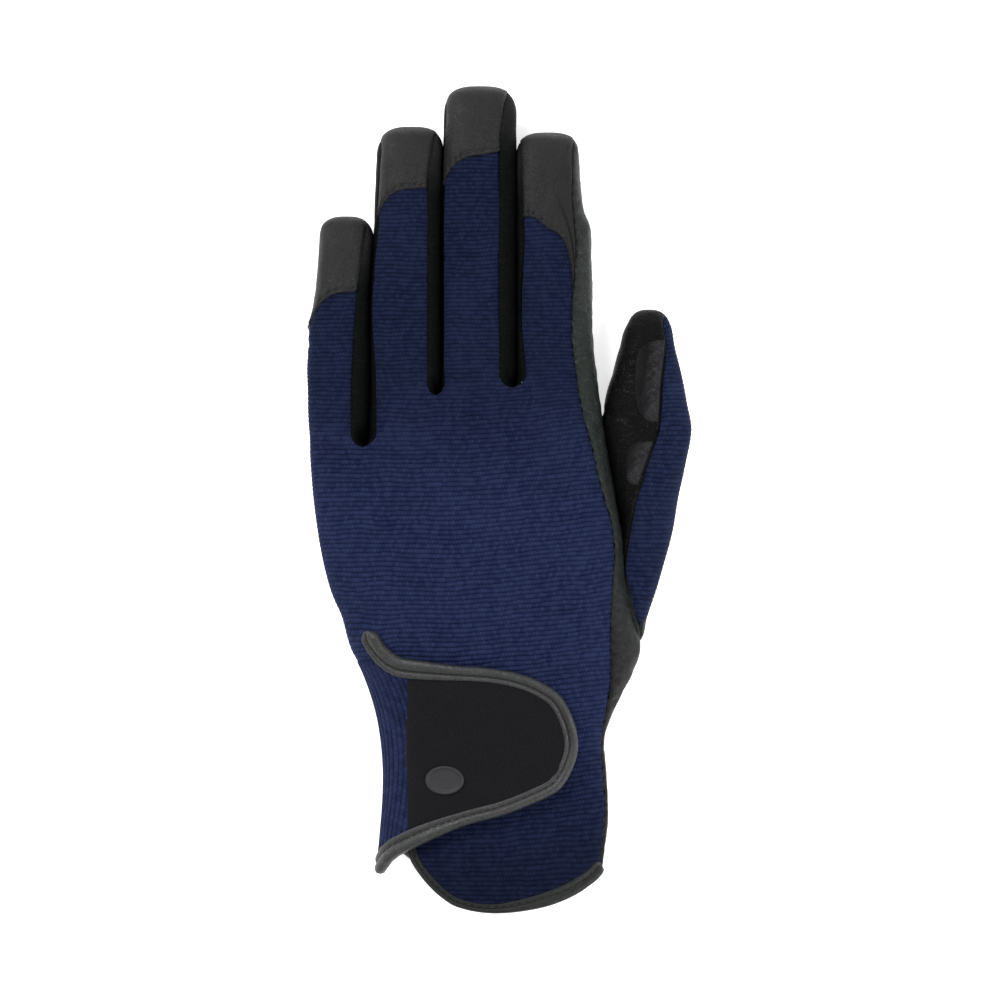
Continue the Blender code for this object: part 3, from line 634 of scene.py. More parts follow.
def leather_material(name, dark, light, roughness=0.5, grain=1.15, depth=0.00016, creases=0.5, shine=0.18,
                     turns=None, groove=None, painted_glints=None):
    """Grained synthetic leather. The UV map is in millimetres.

    turns is (colour, near, far): the leather turns to that colour as y falls from far to near. groove is the
    x of a dark line of painted shade, and flecks the strength of pale specks of painted highlight.
    """
    b = Build(name)
    at, x, y = b.uv()
    pebble = b.cells(at, grain, "DISTANCE_TO_EDGE").ramp(0.0, 0.22)
    pores = b.cells(at, grain * 2.6).ramp(0.05, 0.28)
    crease = abs(b.noise(b.join(x * 0.35, y), 0.55, 5.0, 0.62) - 0.5).ramp(0.0, 0.05)
    cloud = b.noise(at, 0.07, 4.0, 0.6)
    colour = b.colour((pebble * 0.45 + cloud * 0.65).clamped(), dark, light)
    if painted_glints:
        # Painted highlights: pale specks where a shiny, crinkled edge would catch the light
        glint_share = b.noise(b.join(x, y * 0.6), 0.75, 4.0, 0.7).ramp(0.57, 0.72, 0.0, painted_glints)
        colour = b.colour(glint_share, colour, tuple(4.5 * c for c in light))
    if turns:
        other, near, far = turns
        colour = b.colour(y.ramp(near, far, 0.88, 0.0), colour, other)
    if groove:
        # Painted shade: a near-black line along the groove between the binding's rolled edge and its lip,
        # where the stitches sink
        colour = b.colour(abs(x - groove).ramp(0.10, 0.42, 0.9, 0.0), colour, (0.002, 0.002, 0.002))
    folded = b.bump(crease, 0.0003, creases)
    return b.shade({"Base Color": colour, "Specular IOR Level": shine,
                    "Roughness": cloud.ramp(0.25, 0.75, roughness - 0.09, roughness + 0.09),
                    "Normal": b.bump(pebble * 0.55 + pores * 0.45, depth, 0.8, folded)})


def grip_material(name, seam=False):
    """Leather printed with a worn lattice of grey silicone. With seam, it thins out away from x = 0."""
    b = Build(name)
    at, x, y = b.uv()
    one, two = (abs((way * (PI / 2.6)).sine()) for way in (x + y, x - y))
    ink = one.least(two).ramp(0.16, 0.34, 1.0, 0.0) * b.noise(at, 0.55, 4.0, 0.75).ramp(0.42, 0.60)
    smear = b.noise(at, 0.22, 4.0, 0.7).ramp(0.36, 0.62)
    grey, shine = (0.0090, 0.0092, 0.0100), 0.14
    if seam:
        near = (x + b.noise(at, 0.4, 3.0) * 3.0).ramp(3.4, 7.4, 1.0, 0.0)
        specks = b.noise(at, 1.3, 4.0, 0.75).ramp(0.52, 0.62, 0.0, 0.75)
        ink = (ink * 0.4).most(specks) * near
        smear = (smear + 0.3).clamped() * near
        grey, shine = (0.0165, 0.0168, 0.0178), 0.08
    ground = b.colour(smear, (0.0013, 0.0013, 0.0015), grey)
    return b.shade({"Base Color": b.colour(ink * 0.8, ground, (0.056, 0.057, 0.061)),
                    "Roughness": ink.ramp(0.0, 1.0, 0.52, 0.36), "Specular IOR Level": shine,
                    "Normal": b.bump(ink, 0.0003, 0.8, b.bump(b.cells(at, 1.6), 0.00012, 0.6))})


def pile_material(name, dark, light, scale, depth, roughness=0.95, sheen=0.075):
    """Brushed or looped fabric."""
    b = Build(name)
    at = b.node("UVMap")
    fine = b.noise(at, scale, 5.0, 0.75)
    tone = (fine.ramp(0.35, 0.68, 0.0, 0.7) + b.noise(at, 0.12, 3.0, 0.6) * 0.3).clamped()
    return b.shade({"Base Color": b.colour(tone, dark, light), "Roughness": roughness,
                    "Specular IOR Level": 0.08, "Sheen Weight": sheen, "Sheen Roughness": 0.5,
                    "Normal": b.bump(fine, depth, 0.7)})


def thread_material(name, colour):
    """Twisted thread. The UV map's x is the share of a turn round it and its y millimetres along."""
    b = Build(name)
    _, x, y = b.uv()
    twist = ((y * 3.2 + x) * (2 * PI)).sine()
    return b.shade({"Base Color": b.colour(twist.ramp(-1.0, 1.0), tuple(c * 0.5 for c in colour), colour),
                    "Roughness": 0.55, "Normal": b.bump(twist, 0.00008, 0.8)})


KNIT = knit_material("knit_navy", (0.0018, 0.0034, 0.0185), (0.0158, 0.0222, 0.0620))
KNIT_THUMB = knit_material("knit_thumb", (0.0014, 0.0026, 0.0125), (0.0114, 0.0164, 0.0445), shaded_ends=False)
KNIT_TAB = knit_material("knit_tab", (0.0028, 0.0042, 0.0150), (0.0145, 0.0195, 0.0560), 1.5, shaded_ends=False)
LEATHER = leather_material("leather_black", (0.0054, 0.0055, 0.0059), (0.0112, 0.0114, 0.0119), 0.52,
                           creases=0.15)
SIDE_TONES = ((0.0060, 0.0083, 0.0069), (0.0145, 0.0184, 0.0158))
SIDE = leather_material("leather_side", *SIDE_TONES, 0.55, painted_glints=0.4,
                        turns=((0.0038, 0.0038, 0.0038), 58.0, 84.0))
SIDE_INDEX = leather_material("leather_index_side", *SIDE_TONES, 0.52, painted_glints=0.5,
                              turns=((0.0105, 0.0107, 0.0111), 22.0, 38.0))
# Painted shade: the fourchettes' leather is far darker than the caps' to stand for the shade between the
# fingers; near the tip it turns to the caps' grey
GUSSET_SHADED = leather_material("leather_gusset", (0.0007, 0.0010, 0.0009), (0.0026, 0.0031, 0.0028), 0.60,
                          shine=0.04, turns=((0.0120, 0.0120, 0.0125), 5.0, 22.0))
PAD_THUMB = leather_material("leather_thumb", (0.0008, 0.0008, 0.0009), (0.0028, 0.0028, 0.0031), 0.38,
                             creases=0.4, shine=0.055, turns=((0.0095, 0.0112, 0.0100), 12.0, 34.0))
FINE_GRAIN = {"grain": 1.6, "depth": 0.00006, "creases": 0.25, "groove": 2.55}
BINDING = leather_material("binding_leather", (0.0050, 0.0056, 0.0055), (0.0390, 0.0396, 0.0412), 0.38,
                           shine=0.28, **FINE_GRAIN)
# Painted shade: a darker copy of the binding for the wrist flap's edge, standing for the shade it lies in
BINDING_SHADED = leather_material("binding_shaded", (0.0030, 0.0034, 0.0034), (0.0130, 0.0135, 0.0138), 0.40,
                                shine=0.20, **FINE_GRAIN)
GRIP = grip_material("grip_print")
GRIP_THUMB = grip_material("grip_thumb", seam=True)
PAD = pile_material("pad_suede", (0.0022, 0.0021, 0.0027), (0.0082, 0.0080, 0.0098), 1.9, 0.00022)
LOOP = pile_material("loop_tape", (0.0035, 0.0035, 0.0040), (0.0140, 0.0140, 0.0155), 1.5, 0.00045)
HOOK = pile_material("hook_tape", (0.0030, 0.0030, 0.0034), (0.0110, 0.0110, 0.0120), 4.0, 0.00030, 0.6, 0.0)
# Painted shade: the fingers' lining is a far darker copy of the hand's, standing for the shade deep inside the
# fingers
LINING_FINGER_SHADED = pile_material("lining_finger", (0.0010, 0.0011, 0.0012), (0.0030, 0.0031, 0.0034), 3.0,
                              0.00012)
LINING = pile_material("lining", (0.0060, 0.0064, 0.0072), (0.0160, 0.0168, 0.0185), 3.0, 0.00012)
THREAD = thread_material("thread_black", (0.006, 0.006, 0.007))
THREAD_GREY = thread_material("thread_grey", (0.022, 0.022, 0.024))
BADGE = leather_material("emblem_rubber", (0.017, 0.017, 0.019), (0.027, 0.027, 0.029), 0.42, 3.0, 0.00005,
                         0.1)


# ---------------------------------------------------------------------------- relief

def edge_dip(p, depth, width, first=1.0, last=1.0):
    """How far to sink each point of a grid near its two long edges, where it is sewn."""
    u, _ = arc_uv(p)
    at_first, at_last = (np.exp(-(away / width) ** 2) for away in (u - u[:, :1], u[:, -1:] - u))
    return depth * np.maximum(first * at_first, last * at_last)


def folds(p, size, depth, seed, along):
    """Soft creases: thin valleys of smooth noise, longer along the hand where along is less than 1."""
    p = p * [1.0, along, 1.0] / size
    return depth * (0.75 * (np.abs(noise(p, seed)) - 0.35) + 0.35 * noise(p / 0.45, seed + 7))


def puckers(p, u, size, reach):
    """Puckers of leather along its sewn edge at u = 0."""
    return size * np.exp(-(u / reach) ** 2) * np.sin(p[..., 1] * 1.9 + 2.5 * noise(p / 4.0, 9))


def rib_height(counts):
    return np.abs(np.sin(PI * counts)) ** 0.7 - 0.55


def knitted(counts, p):
    """The rib count at each point, which wanders slightly, and the relief of the ribs and of the knit."""
    ribs = counts[:, None] + 0.30 * noise(p / 8.0, 14) + 0.13 * noise(p / 2.6, 15)
    return ribs, RIB_DEPTH * rib_height(ribs), 0.10 * noise(p / 6.0, 3) + 0.22 * noise(p / 19.0, 4)


def shaped(name, p, push):
    """The grid moved outwards by push."""
    n, _ = grid_normals(p, inside(name, p))
    return p + n * push[..., None]


# ---------------------------------------------------------------------------- fingers

def tip_rows(first, tip, step):
    """Rows that crowd together towards a rounded tip."""
    turn = tip - TIP_LENGTH + TIP_LENGTH * np.sin(np.linspace(0, PI / 2, 26))
    return np.concatenate([np.arange(first, tip - TIP_LENGTH, step), turn])


def finger_back(name):
    """The finger's ribbed knit, up to just under its leather cap."""
    k, joint, seam = NAMES.index(name), FINGERS[name]["joint"], FINGERS[name]["seam"]
    rows, counts = rib_rows(STRIPS_START, max(y for _, y in seam) + 3.5, 6)
    s, q = spread(rows, np.linspace(0, 1, 36))
    y = tilted(lambda y, q: strip_point(name, y, q), s, q, 4)
    limit = Curve(seam)(q) + 1.6
    over, y = y > limit, np.minimum(y, limit)
    p = strip_point(name, y, q)
    ribs, relief, uneven = knitted(counts, p)
    first = 1.0 if k == 0 else smooth((y - FORK_Y[k - 1] - 0.5) / 3)
    last = 1.0 if k == 3 else smooth((y - FORK_Y[k] - 0.5) / 3)
    folded = fade(y, joint, 5.0) * (0.5 + 0.5 * np.cos(2 * PI * (y - joint) / 3.9 + noise(p / 7.0, 12)))
    push = relief + uneven - edge_dip(p, 0.7, 0.75, first, last) - 0.28 * folded
    p = shaped(name, p, np.where(over, -0.3, push))
    nodes = [f"{name}_back_*"] + ["little_outer_side_*"] * (name == "little")
    place_halves(f"{name}_knit_*", name, p, rows, KNIT, nodes, (p[..., 0], ribs))


def finger_cap(name):
    """The leather over the fingertip's back: its folded hem lies over the knit."""
    tip, upper = FINGERS[name]["tip"], MOTIONS[name][1]
    hem, hem_end = np.array([0, 0, 0.15, 0.45, 0.8, 1.25, 1.8])[:, None], 2.4
    lift = np.array([-0.5, 0.1, 0.44, 0.58, 0.56, 0.06, 0.46] + [0.42] * 90)[:, None]
    share = np.linspace(0, 1, 90)[:, None]
    q = np.linspace(0, 1, 44)
    edge = Curve(FINGERS[name]["seam"])(q)
    onwards = (tip - edge - hem_end) * (1 - (1 - share) * (1 - 0.35 * share**3))
    y = np.concatenate([edge + hem, edge + hem_end + onwards])
    y = np.minimum(y, tip - 1e-4)
    turn = (y - tip + TIP_LENGTH) / TIP_LENGTH
    y = np.where(turn > 0, tip - TIP_LENGTH + TIP_LENGTH * np.sin(turn * PI / 2), y)
    q = np.broadcast_to(q, y.shape)
    p = strip_point(name, y, q)
    gathers = 0.22 * np.sin(q * 46 + 2 * noise(p / 3.0, 5)) * fade(y, edge + 0.8, 3.2)
    push = lift * smooth((tip - y) / 3.0)
    push += (folds(p, 5.0, 0.30, 20 + NAMES.index(name), 0.55) + gathers) * smooth((tip - y) / 4.0)
    if name == "index":
        push -= 0.55 * fade(y + 17.6 * (q - 0.9), edge + 7.0, 1.6) * smooth((q - 0.55) / 0.3)
    push -= edge_dip(p, 0.65, 0.6) * smooth((tip - y) / 6.0)
    p = shaped(name, p, push)
    place(grid_object(f"{name}_cap_leather", p, LEATHER, inside(name, p)), upper, [f"{name}_cap"])
    n, _ = grid_normals(p[3:9], inside(name, p[3:9]))
    row = p[5] + [0, 0, 0.02]
    stitches(f"{name}_cap_stitches", row[2:-2], n[2][2:-2], upper, THREAD, pitch=1.7, length=1.15, radius=0.22,
             sink=0.02)


def finger_front(name):
    """The leather front of a finger, from the palm to the tip."""
    base, joint, tip = (FINGERS[name][key] for key in ("base", "joint", "tip"))
    rows = tip_rows(STRIPS_START, tip, 0.8)
    y, q = spread(rows, np.linspace(0, 1, 28))
    p = strip_point(name, y, q, palm=True)
    push = folds(p, 7.0, 0.22, 40 + NAMES.index(name), 0.6) * smooth((tip - y) / 4.0)
    for crease in (base + 3, joint - 1.5, joint + 2.0):
        push -= 0.35 * fade(y + noise(p / 5.0, 6), crease, 1.3)
    push -= edge_dip(p, 0.6, 0.6) * smooth((tip - y) / 6.0)
    p = shaped(name, p, push)
    p[..., 2] = np.maximum(p[..., 2], 0.05)
    place_halves(f"{name}_palm_leather_*", name, p, rows, LEATHER, [f"{name}_front_*"])


def finger_lining(name, first):
    """The lining of a finger or the thumb, behind its seams."""
    rows = tip_rows(first, TUBES[name].tip - 1.2, 1.2)
    y, angle = spread(rows, np.linspace(0, 2 * PI, 33)[:-1])
    p = TUBES[name].point(y, angle, LINING_DEPTH)
    place_halves(f"{name}_lining_*", name, p, rows, LINING_FINGER_SHADED, wrap=True)


def sewn(name, p, rows, u, q):
    """A side panel with its first and last columns drawn to the edges at q of the finger's back and front."""
    q = np.full(rows.shape, q)
    p = p + (strip_point(name, rows, q) - p[:, 0])[:, None] * (1 - smooth(u * 4))[..., None]
    return p + (strip_point(name, rows, q, palm=True) - p[:, -1])[:, None] * smooth(u * 4 - 3)[..., None]


def finger_wall(name, k, right):
    """One fourchette: the side of a finger, from the rounded bottom of fork k to the fingertip."""
    tube, tip, yb, side = TUBES[name], FINGERS[name]["tip"], FORK_Y[k], 0 if right else 1
    rows = tip_rows(yb, tip, 0.7)
    rows = np.unique(np.concatenate([yb + np.array([0.0, 0.05, 0.15, 0.3, 0.5]), rows[rows > yb + 0.6]]))
    y, u = spread(rows, np.linspace(0, 1, 26))
    top = tube.angle(y, channel(k, y)[side])
    low = tube.angle(y, channel(k, y, palm=True)[side], below=True) - (2 * PI if right else 0)
    own = sewn(name, tube.point(y, mix(top, low, u)), rows, u, 1.0 if right else 0.0)
    web = mix(own[0, :1], own[0, -1:], u[0, :, None])
    web[:, 1] = yb - 0.9 * np.sin(PI * u[0])
    arc = quarter((rows - yb) / 3.6)[:, None]
    p = mix(web, own, arc[..., None])
    push = folds(p, 4.5, 0.24, 60 + 2 * k + side, 0.5) * smooth((tip - y) / 4) * arc
    push -= edge_dip(p, 0.45, 0.5) * smooth((y - yb - 1) / 4) * smooth((tip - y) / 6)
    gap = TUBES[NAMES[k + 1]].left(y) - TUBES[NAMES[k]].right(y)
    push += np.clip(gap / 2 + 0.17, 0.2, 1.2) * np.sin(PI * u) ** 0.6 * np.sqrt(arc) * smooth((tip - y) / 8)
    p = shaped(name, p, push)
    word = "right" if right else "left"
    gusset = [f"fork_gusset_{NAMES[k]}_{NAMES[k + 1]}"] if right else []
    node = f"{name}_fourchette_{word}_*"
    place_halves(node + "_leather", name, p, rows, GUSSET_SHADED, [node],
                 (arc_uv(p)[0], tip - p[..., 1]), (gusset, []))


def index_side():
    """The leather that wraps up the index finger's thumb side, crinkled along its edge."""
    tip = FINGERS["index"]["tip"]
    rows = tip_rows(STRIPS_START, tip, 0.45)
    y, u = spread(rows, np.linspace(0, 1, 34))
    p = mix(side_point(HAND, y, u), side_point(TUBES["index"], y, u), parted("index", y)[1][..., None])
    p = sewn("index", p, rows, u, 1.0)
    push = 0.12 + folds(p, 3.6, 0.42, 80, 0.8) * smooth((tip - y) / 4)
    push += puckers(p, u, 0.38, 0.10) * smooth((tip - y) / 8)
    push += 0.9 * np.exp(-((y - 76.5) / 3.2) ** 2) * np.sin(PI * np.clip(u * 1.2, 0, 1))
    push -= edge_dip(p, 0.6, 0.45) * smooth((tip - y) / 6)
    p = shaped("index", p, push)
    place_halves("index_side_leather_*", "index", p, rows, SIDE_INDEX, ["index_side_wrap_*"],
                 (arc_uv(p)[0], tip - p[..., 1]))


# ---------------------------------------------------------------------------- hand

def back_point(y, q, depth=0.0):
    """A point of the knit back. q runs from its little-finger side to its thumb side."""
    start = mix(HAND.angle(y, FLAP_LEFT(y)), SIDE_SEAM, smooth((y - SLIT_TOP) / 3.0))
    return HAND.point(y, mix(start, HAND.angle(y, knit_edge(y)), q), depth)


def flap_point(y, q, depth=0.0):
    """A point of the back, and whether it was held at the flap's rounded lower edge."""
    low = FLAP_LOW(back_point(y, q)[..., 0])
    return back_point(np.maximum(y, low), q, depth), y < low


def hand_back():
    """The ribbed knit over the back of the hand and down the wrist flap."""
    rows, counts = rib_rows(FLAP_END - 1.0, STRIPS_START, 6)
    s, q = spread(rows, np.linspace(0, 1, 110))
    p, held = flap_point(tilted(back_point, s, q, 5), q)
    x, y = p[..., 0], p[..., 1]
    ribs, relief, uneven = knitted(counts, p)
    push = np.where(held, -0.3, relief) + uneven
    push -= edge_dip(p, 0.7, 0.75, smooth((y - SLIT_TOP) / 4), smooth((y + 104) / 6))
    # The knit stands out above the strap's hooked start, where the hand widens
    shoulder = smooth((-31.0 - y) / 11.0) * smooth((y + 50.0) / 5.0) * smooth((-28.0 - x) / 7.0)
    p = shaped("hand", p, push + 3.0 * shoulder)
    place(grid_object("hand_knit", p, KNIT, inside("hand", p), (x, ribs)), "hand", ["back_panel"])


def palm_grid(row_count, across, end=palm_edge, depth=0.0):
    """Points of the palm from its side seam round to the angle end, drawn up to its hem."""
    rows, q = spread(np.linspace(WRIST_END, STRIPS_START, row_count), np.linspace(0, 1, across))
    y = rows
    for _ in range(3):
        p = HAND.point(y, mix(SIDE_SEAM, end(y), q), depth)
        y = mix(STRIPS_START, PALM_HEM(p[..., 0]), (STRIPS_START - rows) / (STRIPS_START - WRIST_END))
    return p


def hand_palm():
    """The leather palm, from the wrist hem up to the fingers."""
    p = palm_grid(146, 90)
    x, y = p[..., 0], p[..., 1]
    push = folds(p, 9.0, 0.22, 31, 0.7) + 0.25 * noise(p / 24.0, 32)
    lifeline = np.hypot(x - 40.0, y + 14.0) - 2 * noise(p / 12.0, 33)
    push -= 0.5 * fade(lifeline, 30.0, 1.4) * smooth((x + 10) / 8)
    push -= edge_dip(p, 0.6, 0.7)
    p = shaped("hand", p, push)
    p[..., 2] = np.maximum(p[..., 2], 0.62)
    place(grid_object("palm_leather", p, LEATHER, inside("hand", p)), "hand", ["palm_panel"])


def hand_side():
    """The palm leather where it wraps up to the knit on the thumb side, gathered in small puckers."""
    y, u = spread(np.linspace(-103.4, STRIPS_START, 228), np.linspace(0, 1, 40))
    p = side_point(HAND, y, u)
    strong = 0.5 + 0.5 * smooth((y + 64) / 12) * (1 - smooth((y + 4) / 12))
    push = 0.10 + strong * (folds(p, 3.6, 0.42, 80, 0.8) + puckers(p, u, 0.34, 0.12))
    p = shaped("hand", p, push - edge_dip(p, 0.6, 0.45))
    side = grid_object("hand_side_leather", p, SIDE, inside("hand", p))
    place(side, "hand", ["thumb_side_strip"])


def hand_lining():
    """The inner faces of the hand, seen through the wrist."""
    y, q = spread(np.linspace(FLAP_END, STRIPS_START, 70), np.linspace(0, 1, 50))
    back, _ = flap_point(y, q, LINING_DEPTH)
    palm = palm_grid(60, 60, lambda y: 2 * PI + HAND.angle(y, knit_edge(y)), LINING_DEPTH)
    for name, p, slot in (("lining_back", back, "knit"), ("lining_palm", palm, "leather")):
        place(grid_object(name, p, LINING, 2 * p - inside("hand", p)), "hand", ())


# ---------------------------------------------------------------------------- thumb

THUMB_TURN = THUMB_TIP - TIP_LENGTH + TIP_LENGTH * np.sin(np.linspace(0.05, PI / 2, 24))


def thumb_angles(y):
    """Angles of the seam over the thumb's back and of the one under it."""
    seam = THUMB.angle(y, THUMB_SEAM(y))
    return seam, mix(seam, -2.1, smooth((y - THUMB_START) / 9.0))


def thumb_knit():
    """The ribbed knit of the thumb's back."""
    rows, counts = rib_rows(THUMB_START, THUMB_TIP - TIP_LENGTH, 5)
    rows = np.concatenate([rows, THUMB_TURN])
    counts = np.concatenate([counts, np.interp(THUMB_TURN, RIB_Y, RIB_COUNT)])
    y, q = spread(rows, np.linspace(0, 1, 44))
    seam, under = thumb_angles(y)
    p = THUMB.point(y, mix(under, seam, q))
    ribs, relief, uneven = knitted(counts, p)
    push = (relief + uneven) * smooth((THUMB_TIP - y) / 3)
    push -= edge_dip(p, 0.75, 0.7) * smooth((THUMB_TIP - y) / 6) * smooth((y - THUMB_START) / 6)
    p = shaped("thumb", p, push)
    place_halves("thumb_knit_*", "thumb", p, rows, KNIT_THUMB, ["thumb_back_*"],
                 (p[..., 0] + p[..., 2] * 0.8, ribs))


def thumb_leather():
    """The leather of the thumb's front, from its root in the palm to its cap."""
    rows = np.concatenate([np.arange(THUMB_ROOT, THUMB_TIP - TIP_LENGTH, 0.6), THUMB_TURN])
    y, q = spread(rows, np.linspace(0, 1, 70))
    seam, under = thumb_angles(y)
    p = THUMB.point(y, mix(seam, under + 2 * PI, q))
    p = mix(np.array([31.0, -47.0, 7.0]), p, smooth((y + 47.0) / 9.0)[..., None])
    still = smooth((THUMB_TIP - y) / 4) * smooth((y + 45.0) / 8.0)
    crease = fade(y + 0.35 * (p[..., 0] - 40), THUMB_CREASE, 2.0)
    push = still * (folds(p, 5.5, 0.30, 90, 0.7) - 0.30 * crease)
    push -= edge_dip(p, 0.75, 0.7) * smooth((THUMB_TIP - y) / 6)
    p = shaped("thumb", p, push)
    place_halves("thumb_leather_*", "thumb", p, rows, PAD_THUMB, ["thumb_front_*"],
                 (arc_uv(p)[0], p[..., 1] - THUMB_ROOT), (["thumb_root"], ["thumb_cap"]))


def thumb_grip(half, first, last, left, motion):
    """One printed patch beside the thumb's seam, from first to last and as far as left, with rounded ends."""
    y, q = spread(np.linspace(first, last, int((last - first) / 0.4)), np.linspace(0, 1, 30))
    start = THUMB.angle(y, THUMB_SEAM(y) - 0.9)
    ends = np.sqrt(np.clip(1 - np.abs((y - (first + last) / 2) / ((last - first) / 2)) ** 4, 0.02, 1))
    p = THUMB.point(y, mix(start, mix(start, THUMB.angle(y, left), ends), q))
    rim = np.min([y - first, last - y, q * 12, (1 - q) * 12], axis=0) / 0.7
    p = shaped("thumb", p, mix(-0.35, 0.34, np.sqrt(np.clip(rim, 0, 1))) + 0.06 * noise(p / 2.5, 91))
    u, v = arc_uv(p)
    made = grid_object(f"thumb_grip_{half}", p, GRIP_THUMB, inside("thumb", p), (u - u[:, :1], v))
    place(made, motion, [f"thumb_grip_patch_{half}"])


# ---------------------------------------------------------------------------- palm patches and bindings

def palm_patch(name, centre, half_size, bottom_share):
    """A printed patch on the palm, narrower towards the wrist, and the stitches round it."""
    angles = np.linspace(0, 2 * PI, 121)[:-1]
    x, y = (np.sign(c) * np.abs(c) ** 0.6 for c in (np.cos(angles), np.sin(angles)))
    x, y = x * half_size[0], y * half_size[1]
    x = x * mix(bottom_share, 1.0, (y / half_size[1] + 1) / 2)
    radius = np.concatenate([np.linspace(0.02, 0.93, 34), [0.96, 0.985, 1.0, 1.0]])[:, None]
    height = np.array([0.10] * 30 + [0.14, 0.28, 0.28, 0.14, 0.12, 0.2, 0.42, 0.75])[:, None]
    p = np.stack(np.broadcast_arrays(centre[0] + radius * x, centre[1] + radius * y, height), -1)
    p[..., 2] += 0.03 * noise(p / 4.0, 55)
    made = grid_object(name + "_grip", p, GRIP, np.array([*centre, 5.0]), (p[..., 0], p[..., 1]), wrap=True)
    place(made, "hand", [name])
    row = np.concatenate([p[31], p[31][:1]])
    row[:, 2] = 0.26
    down = np.tile([0, 0, -1.0], (len(row), 1))
    stitches(name + "_stitches", row, down, "hand", THREAD_GREY, pitch=2.2, length=1.6, radius=0.16, sink=0.02)


def binding_profile(width, thickness):
    """A folded binding, from its rolled outer edge at +side to its thin inner edge, over and then under."""
    share = np.linspace(0, 1, 15)
    roll = np.sqrt(np.clip(1 - ((share - 0.30) / 0.36) ** 2, 0, 1))
    lip = 0.62 * np.sqrt(np.clip(1 - ((share - 0.80) / 0.20) ** 4, 0, 1))
    height = np.maximum(np.where(share < 0.64, roll, 0), np.where(share > 0.6, lip, 0))
    height = np.maximum(height, 0.24) * thickness / 2
    height[0], height[-1] = 0.0, 0.0
    top = np.stack([width * (0.5 - share), height], -1)
    return np.concatenate([top, top[-2:0:-1] * [1, -1]])


def add_binding(name, path, normals, motion, node, leather, width, thickness, seed, wide):
    """A binding swept along a path, with its stitches. wide is its share of width at each point."""
    path, normals, wide = resample(path, 0.45, normals, wide[:, None])
    path = path + normals * (0.12 * noise(path / 3.5, seed))[:, None]
    profile = binding_profile(width, thickness)
    tangent = unit(np.gradient(path, axis=0))
    side = unit(np.cross(tangent, normals))
    up = np.cross(side, tangent)
    steps = np.arange(len(path))
    size = np.minimum(1, np.sqrt(np.minimum(steps, steps[::-1]) / 5 + 0.02))[:, None]
    across, over = profile[:, 0] * size * wide, profile[:, 1] * size
    p = path[:, None] + side[:, None] * across[..., None] + up[:, None] * over[..., None]
    uv = spread(travelled(path), np.linspace(0, 8, len(profile)))[::-1]
    place(mesh_object(name, p.reshape(-1, 3), closed_tube(numbered(p)), leather, flat_uv(uv)), motion, [node])
    row = path - side * 0.13 * width * wide + normals * (0.26 * thickness)
    stitches(name + "_stitches", row[5:-5], normals[5:-5], motion, THREAD, pitch=2.2, length=1.7, radius=0.22,
             sink=0.05)


# ---------------------------------------------------------------------------- strap and hems

def over_wrist(x, y, lift):
    """Points lift millimetres over the back of the wrist."""
    return HAND.point(y, HAND.angle(y, x, depth=-lift), -lift)


def normals_over(path):
    """The wrist's outward direction at points of a path."""
    centre, half, _, _ = HAND.parts(path[:, 1])
    flat = (path[:, 0] - centre) / (half + 3)
    side = np.sign(flat) * np.abs(flat) ** 4
    return np.stack([side, 0 * side, np.sqrt(np.clip(1 - side**2, 0.02, 1))], -1)


def strap_edges(x, inset=0.0):
    """y of the strap's lower and upper edges at x, inset from its outline."""
    top, foot = STRAP_TOP(x) - inset, STRAP_FOOT(x) + inset
    middle, half = (top + foot) / 2, (top - foot) / 2 * closing(x, STRAP_END - inset, STRAP_ROUND, 2.2)
    return middle - half, middle + half


def strap_pad():
    """The strap's suede pad, crowned between its bindings."""
    inset = RIM - 0.5
    turn = STRAP_END - inset - STRAP_ROUND
    bend = turn + STRAP_ROUND * 0.995 * np.sin(np.linspace(0, PI / 2, 36))[1:]
    x, share = spread(np.concatenate([np.linspace(STRAP_SPLIT, turn, 80), bend]), np.linspace(0, 1, 110))
    low, high = strap_edges(x, inset)
    y = mix(low, high, share)
    rim = np.min([y - low, high - y, STRAP_END - inset - x, (x - STRAP_SPLIT) * 3], axis=0)
    top = over_wrist(x, y, STRAP_LIFT + STRAP_SHEET)
    crown = 0.65 * (1 - np.exp(-np.maximum(rim, 0) / 4.5))
    top[..., 2] += crown - 0.25 + 0.16 * noise(top / 9.0, 71) + 0.10 * noise(top / 4.0, 72)
    pad = slab("strap_pad_suede", top, over_wrist(x, y, STRAP_LIFT), PAD)
    place(pad, "strap", ["strap_pad"])


def strap_tab():
    """The knit tab, from the palm's edge, where it lies on the hand, up to the pad."""
    rows = np.concatenate([np.linspace(0, 0.34, 34), np.linspace(0.34, 1, 40)[1:]])
    s, across = spread(rows, np.linspace(0, 1, 130))
    low, high = strap_edges(STRAP_SPLIT - 6.0 * (1 - np.clip((s - 0.3) / 0.7, 0, 1)), 1.2)
    free, off = smooth(s / 0.30), smooth(s / 0.32)
    y = mix(mix(-96.2, low, free), mix(-46.0, high, free), across)
    lift = STRAP_LIFT + STRAP_SHEET
    angle = mix(PI + 0.24, HAND.angle(y, STRAP_SPLIT + 0.8, depth=-lift), s)
    out = HAND.point(y, angle, -mix(0.45, lift, off))
    ribs = travelled(out) / RIB_TAB
    out = shaped("hand", out, 0.14 * rib_height(ribs))
    tab = slab("strap_tab_knit", out, HAND.point(y, angle, -mix(-0.7, STRAP_LIFT, off)), KNIT_TAB, (y, ribs))
    place(tab, STRAP_TURN, ["strap_base"])


def closure(kind, first, lift, inset, fabric, body):
    """The hook or the loop half of the closure, under the pad."""
    x, share = spread(np.linspace(first, STRAP_END - 7.5, 50), np.linspace(0, 1, 60))
    y = mix(*strap_edges(x, inset), share)
    tape = slab(f"{kind}_tape", over_wrist(x, y, lift), over_wrist(x, y, lift - TAPE_SHEET), fabric)
    place(tape, body, [f"{kind}_patch"])


